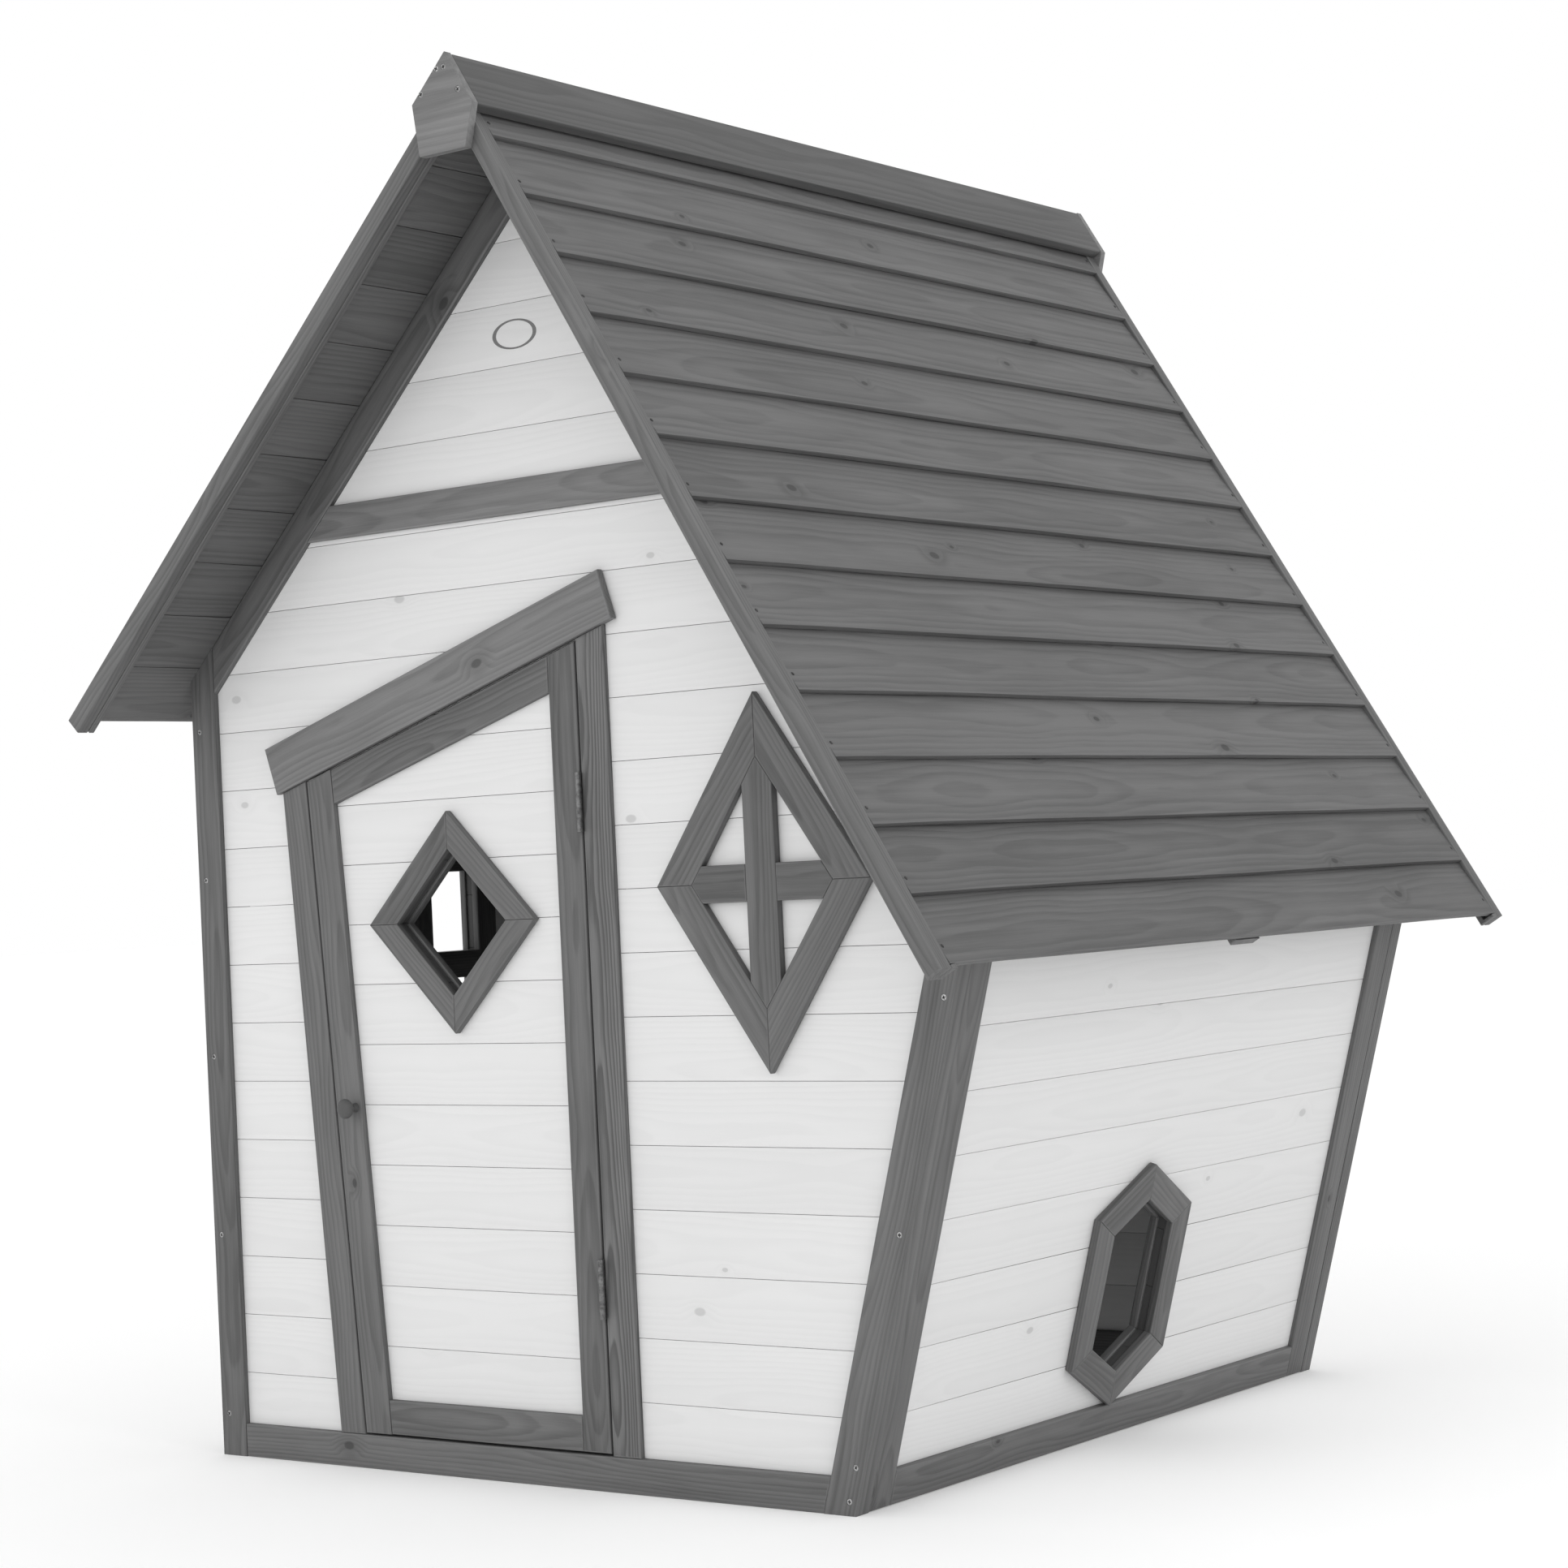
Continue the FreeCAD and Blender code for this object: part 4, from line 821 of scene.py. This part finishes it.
zinc = worn_metal("plated_steel", 0.5, 0.22, 0.3)
for node, body in (("wall_screws", "house"), ("ridge_cap_screws", "house"), ("knob_screw", "door")):
    screws, dirt = [], []
    for head, outward, long, wide, thin in screw_places(node):
        reach = np.concatenate([np.linspace(0.0, 0.8, 9), [0.88, 0.94, 0.98]]) * wide
        sunk = SCREW_SUNK + RIM_DROP * np.clip(reach / wide - 0.85, 0, 1) / 0.15
        face = np.stack([-sunk, np.maximum(reach, 1e-5)], axis=1)
        # below the face: the rim, the cone under the head, the shank and its point
        rest = np.array([[-0.0010, wide * 0.985], [-0.0028, thin * 1.15], [-0.0032, thin * 0.97],
                         [-long + 0.002, thin * 0.97], [-long + 0.0001, thin * 0.2]])
        points, faces = turned(np.concatenate([face, rest])[::-1], head, outward, SCREW_SIDES)
        lift = points - head
        flat = lift - (lift @ outward)[:, None] * outward
        turn = rng.uniform(0, math.pi / 2)
        u = flat[:, 0] * math.cos(turn) + flat[:, 2] * math.sin(turn)
        v = flat[:, 2] * math.cos(turn) - flat[:, 0] * math.sin(turn)
        on_face = np.arange(len(points)) >= len(points) - len(reach) * SCREW_SIDES
        inside = on_face & (np.minimum(abs(u), abs(v)) < CROSS_WIDE / 2) & (np.hypot(u, v) < CROSS_REACH)
        points[inside] -= CROSS_DEEP * outward
        rim = on_face & (np.hypot(u, v) > 0.93 * wide)
        # painted shade: the cross recess is painted fully near black, the rim where the head meets the wood
        # half as much, and the rest only a trace
        dirt.append(np.where(inside, 1.0, np.where(rim, 0.5, 0.1)))
        screws.append((points, faces))
    surface_piece(node, *merged(screws), zinc, body, dirt=np.concatenate(dirt))

nail_steel = worn_metal("nail_steel", 0.07, 0.02, 0.4)
dome = np.array([[-0.004, 0.0009], [-0.0004, 0.0010], [-0.0003, NAIL_RADIUS], [0.0003, NAIL_RADIUS * 0.9],
                 [0.0006, NAIL_RADIUS * 0.4], [0.0006, 1e-5]])
nails = []
for node in ("left_roof_boards", "right_roof_boards"):
    for loops, length in outlines_of(node, FRONT):
        # the board's outer side is the longest of its section, and the higher of two equal ones
        section = loops[0]
        ends = np.roll(section, -1, axis=0)
        outside = np.argmax(np.linalg.norm(ends - section, axis=1) + 0.01 * (section[:, 2] + ends[:, 2]))
        low, high = sorted((section[outside], ends[outside]), key=lambda corner: corner[2])
        if low[2] > ridge_line[2] - NAIL_FREE:
            continue
        rise = (high - low) / np.linalg.norm(high - low)
        out = np.cross(rise, FRONT)
        out = out if out[2] > 0 else -out
        for y in (NAIL_IN, length - NAIL_IN):
            up = NAIL_UP + rng.uniform(-0.004, 0.004)
            centre = low + up * rise + (y + rng.uniform(-1, 1) * 0.002) * BACK
            nails.append(turned(dome, centre, out, NAIL_SIDES))
nail_points, nail_faces = merged(nails)
nail_mesh = bpy.data.meshes.new("roof_nails")
nail_mesh.from_pydata(nail_points.tolist(), [], nail_faces)
nail_mesh.polygons.foreach_set("use_smooth", np.ones(len(nail_mesh.polygons), bool))
nail_mesh.materials.append(nail_steel)
roof_nails = add_object("roof_nails", nail_mesh)
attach(roof_nails, "house")

# ---- Door knob -------------------------------------------------------------------------------
# A small mushroom knob turned from wood and stained like the frame. It stands on the latch stile
# and is held by a screw from behind.

KNOB_SIDES = 48
KNOB_BEND_STEPS = 15
NECK = np.array([[0.0, 0.45], [0.0004, 0.475], [0.024, 0.46], [0.2, 0.37], [0.38, 0.35], [0.47, 0.36]])
FOOT_ROUND = 0.01
KNOB_PLANK = [41.0, 5.0, 0.3]

knob_low, knob_high = (np.array(corner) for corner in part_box("door_knob"))
knob_wide = (knob_high[0] - knob_low[0]) / 2
knob_long = knob_high[1] - knob_low[1]
knob_foot = np.array([(knob_low[0] + knob_high[0]) / 2, knob_high[1], (knob_low[2] + knob_high[2]) / 2])
# the neck's rows are shares of the knob's length and radius, but its foot's round is in metres
neck_long = np.where(NECK[:, 0] > FOOT_ROUND, knob_long, 1.0)
neck = NECK * np.stack([neck_long, np.full(len(NECK), knob_wide)], axis=1)
bend = np.linspace(0, math.pi, KNOB_BEND_STEPS)
cap_middle = 0.74 * knob_long
cap_half = 0.235 * knob_long
cap = np.stack([cap_middle - cap_half * np.cos(bend), 0.38 * knob_wide + 0.6 * knob_wide * np.sin(bend)],
               axis=1)
tip = np.array([[cap_middle + 1.02 * cap_half, 0.2 * knob_wide], [cap_middle + 1.03 * cap_half, 1e-5]])
knob_points, knob_faces = turned(np.concatenate([neck, cap, tip]), knob_foot, FRONT, KNOB_SIDES)
knob_axes = np.array([[0.0, 0.0, 1.0], [1.0, 0.0, 0.0], [0.0, -1.0, 0.0]])
surface_piece("door_knob", knob_points, knob_faces, frame_stain, "door", wear=np.zeros(len(knob_points)),
              grain=(knob_points - knob_foot) @ knob_axes.T,
              plank=np.tile(KNOB_PLANK, (len(knob_points), 1)))

# ---- Hinges ----------------------------------------------------------------------------------
# Two plain plated butt hinges, let in between the leaf and the right jamb, with rolled knuckles
# that stand just in front of the frame.

hinge_steel = worn_metal("tarnished_hinge_steel", 0.2, 0.09, 0.32)
for node in ("hinge_jamb_leaves", "hinge_door_leaves", "hinge_pins"):
    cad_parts[node].data.materials.clear()
    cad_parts[node].data.materials.append(hinge_steel)

# ---- Maker's plate ---------------------------------------------------------------------------
# A plain oval ring is printed in grey on the gable boards, thicker at its two sides. It has no
# lettering.

WALL_HALF = 0.5375
PLATE_RIGHT = 0.0817
PLATE_HEIGHT = 1.4716
PLATE_HALF = np.array([0.0375, 0.0192])
PLATE_BAND = np.array([0.0062, 0.0022])
PLATE_SIDES = 96
INK_THICK = 0.0002
INK_SUNK = -0.0001

ink = Shader("printed_grey_ink")
speckle = ink.noise(ink.vector("MULTIPLY", ink.node("TexCoord", 3), (700.0, 700.0, 700.0)), 1.0, 3.0)
ink_tone = ink.mix(ink.ramp(speckle, 0.35, 0.7), grey(0.14), grey(0.19))
ink_material = ink.finish(ink_tone, 0.55, speckle, 0.00001)
wall_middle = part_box("front_left_post")[0].x + WALL_HALF
board_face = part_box("front_boards_gable")[0].y
turn = np.linspace(0, 2 * math.pi, PLATE_SIDES + 1)[:-1]
circle = np.stack([np.cos(turn), np.sin(turn)], axis=1)
outer, inner = circle * PLATE_HALF, circle * (PLATE_HALF - PLATE_BAND)
rows = [(outer, INK_SUNK), (outer, INK_THICK), (inner, INK_THICK), (inner, INK_SUNK)]
plate_points = np.concatenate([np.stack([wall_middle + PLATE_RIGHT + row[:, 0],
                                         np.full(len(row), board_face - height),
                                         PLATE_HEIGHT + row[:, 1]], axis=1) for row, height in rows])
number = np.arange(len(plate_points)).reshape(len(rows), PLATE_SIDES)
plate_faces = skin(np.concatenate([number, number[:1]]), reverse=True)
plate_mesh = bpy.data.meshes.new("gable_oval")
plate_mesh.from_pydata(plate_points.tolist(), [], plate_faces)
plate_mesh.materials.append(ink_material)
gable_oval = add_object("gable_oval", plate_mesh)
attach(gable_oval, "house")
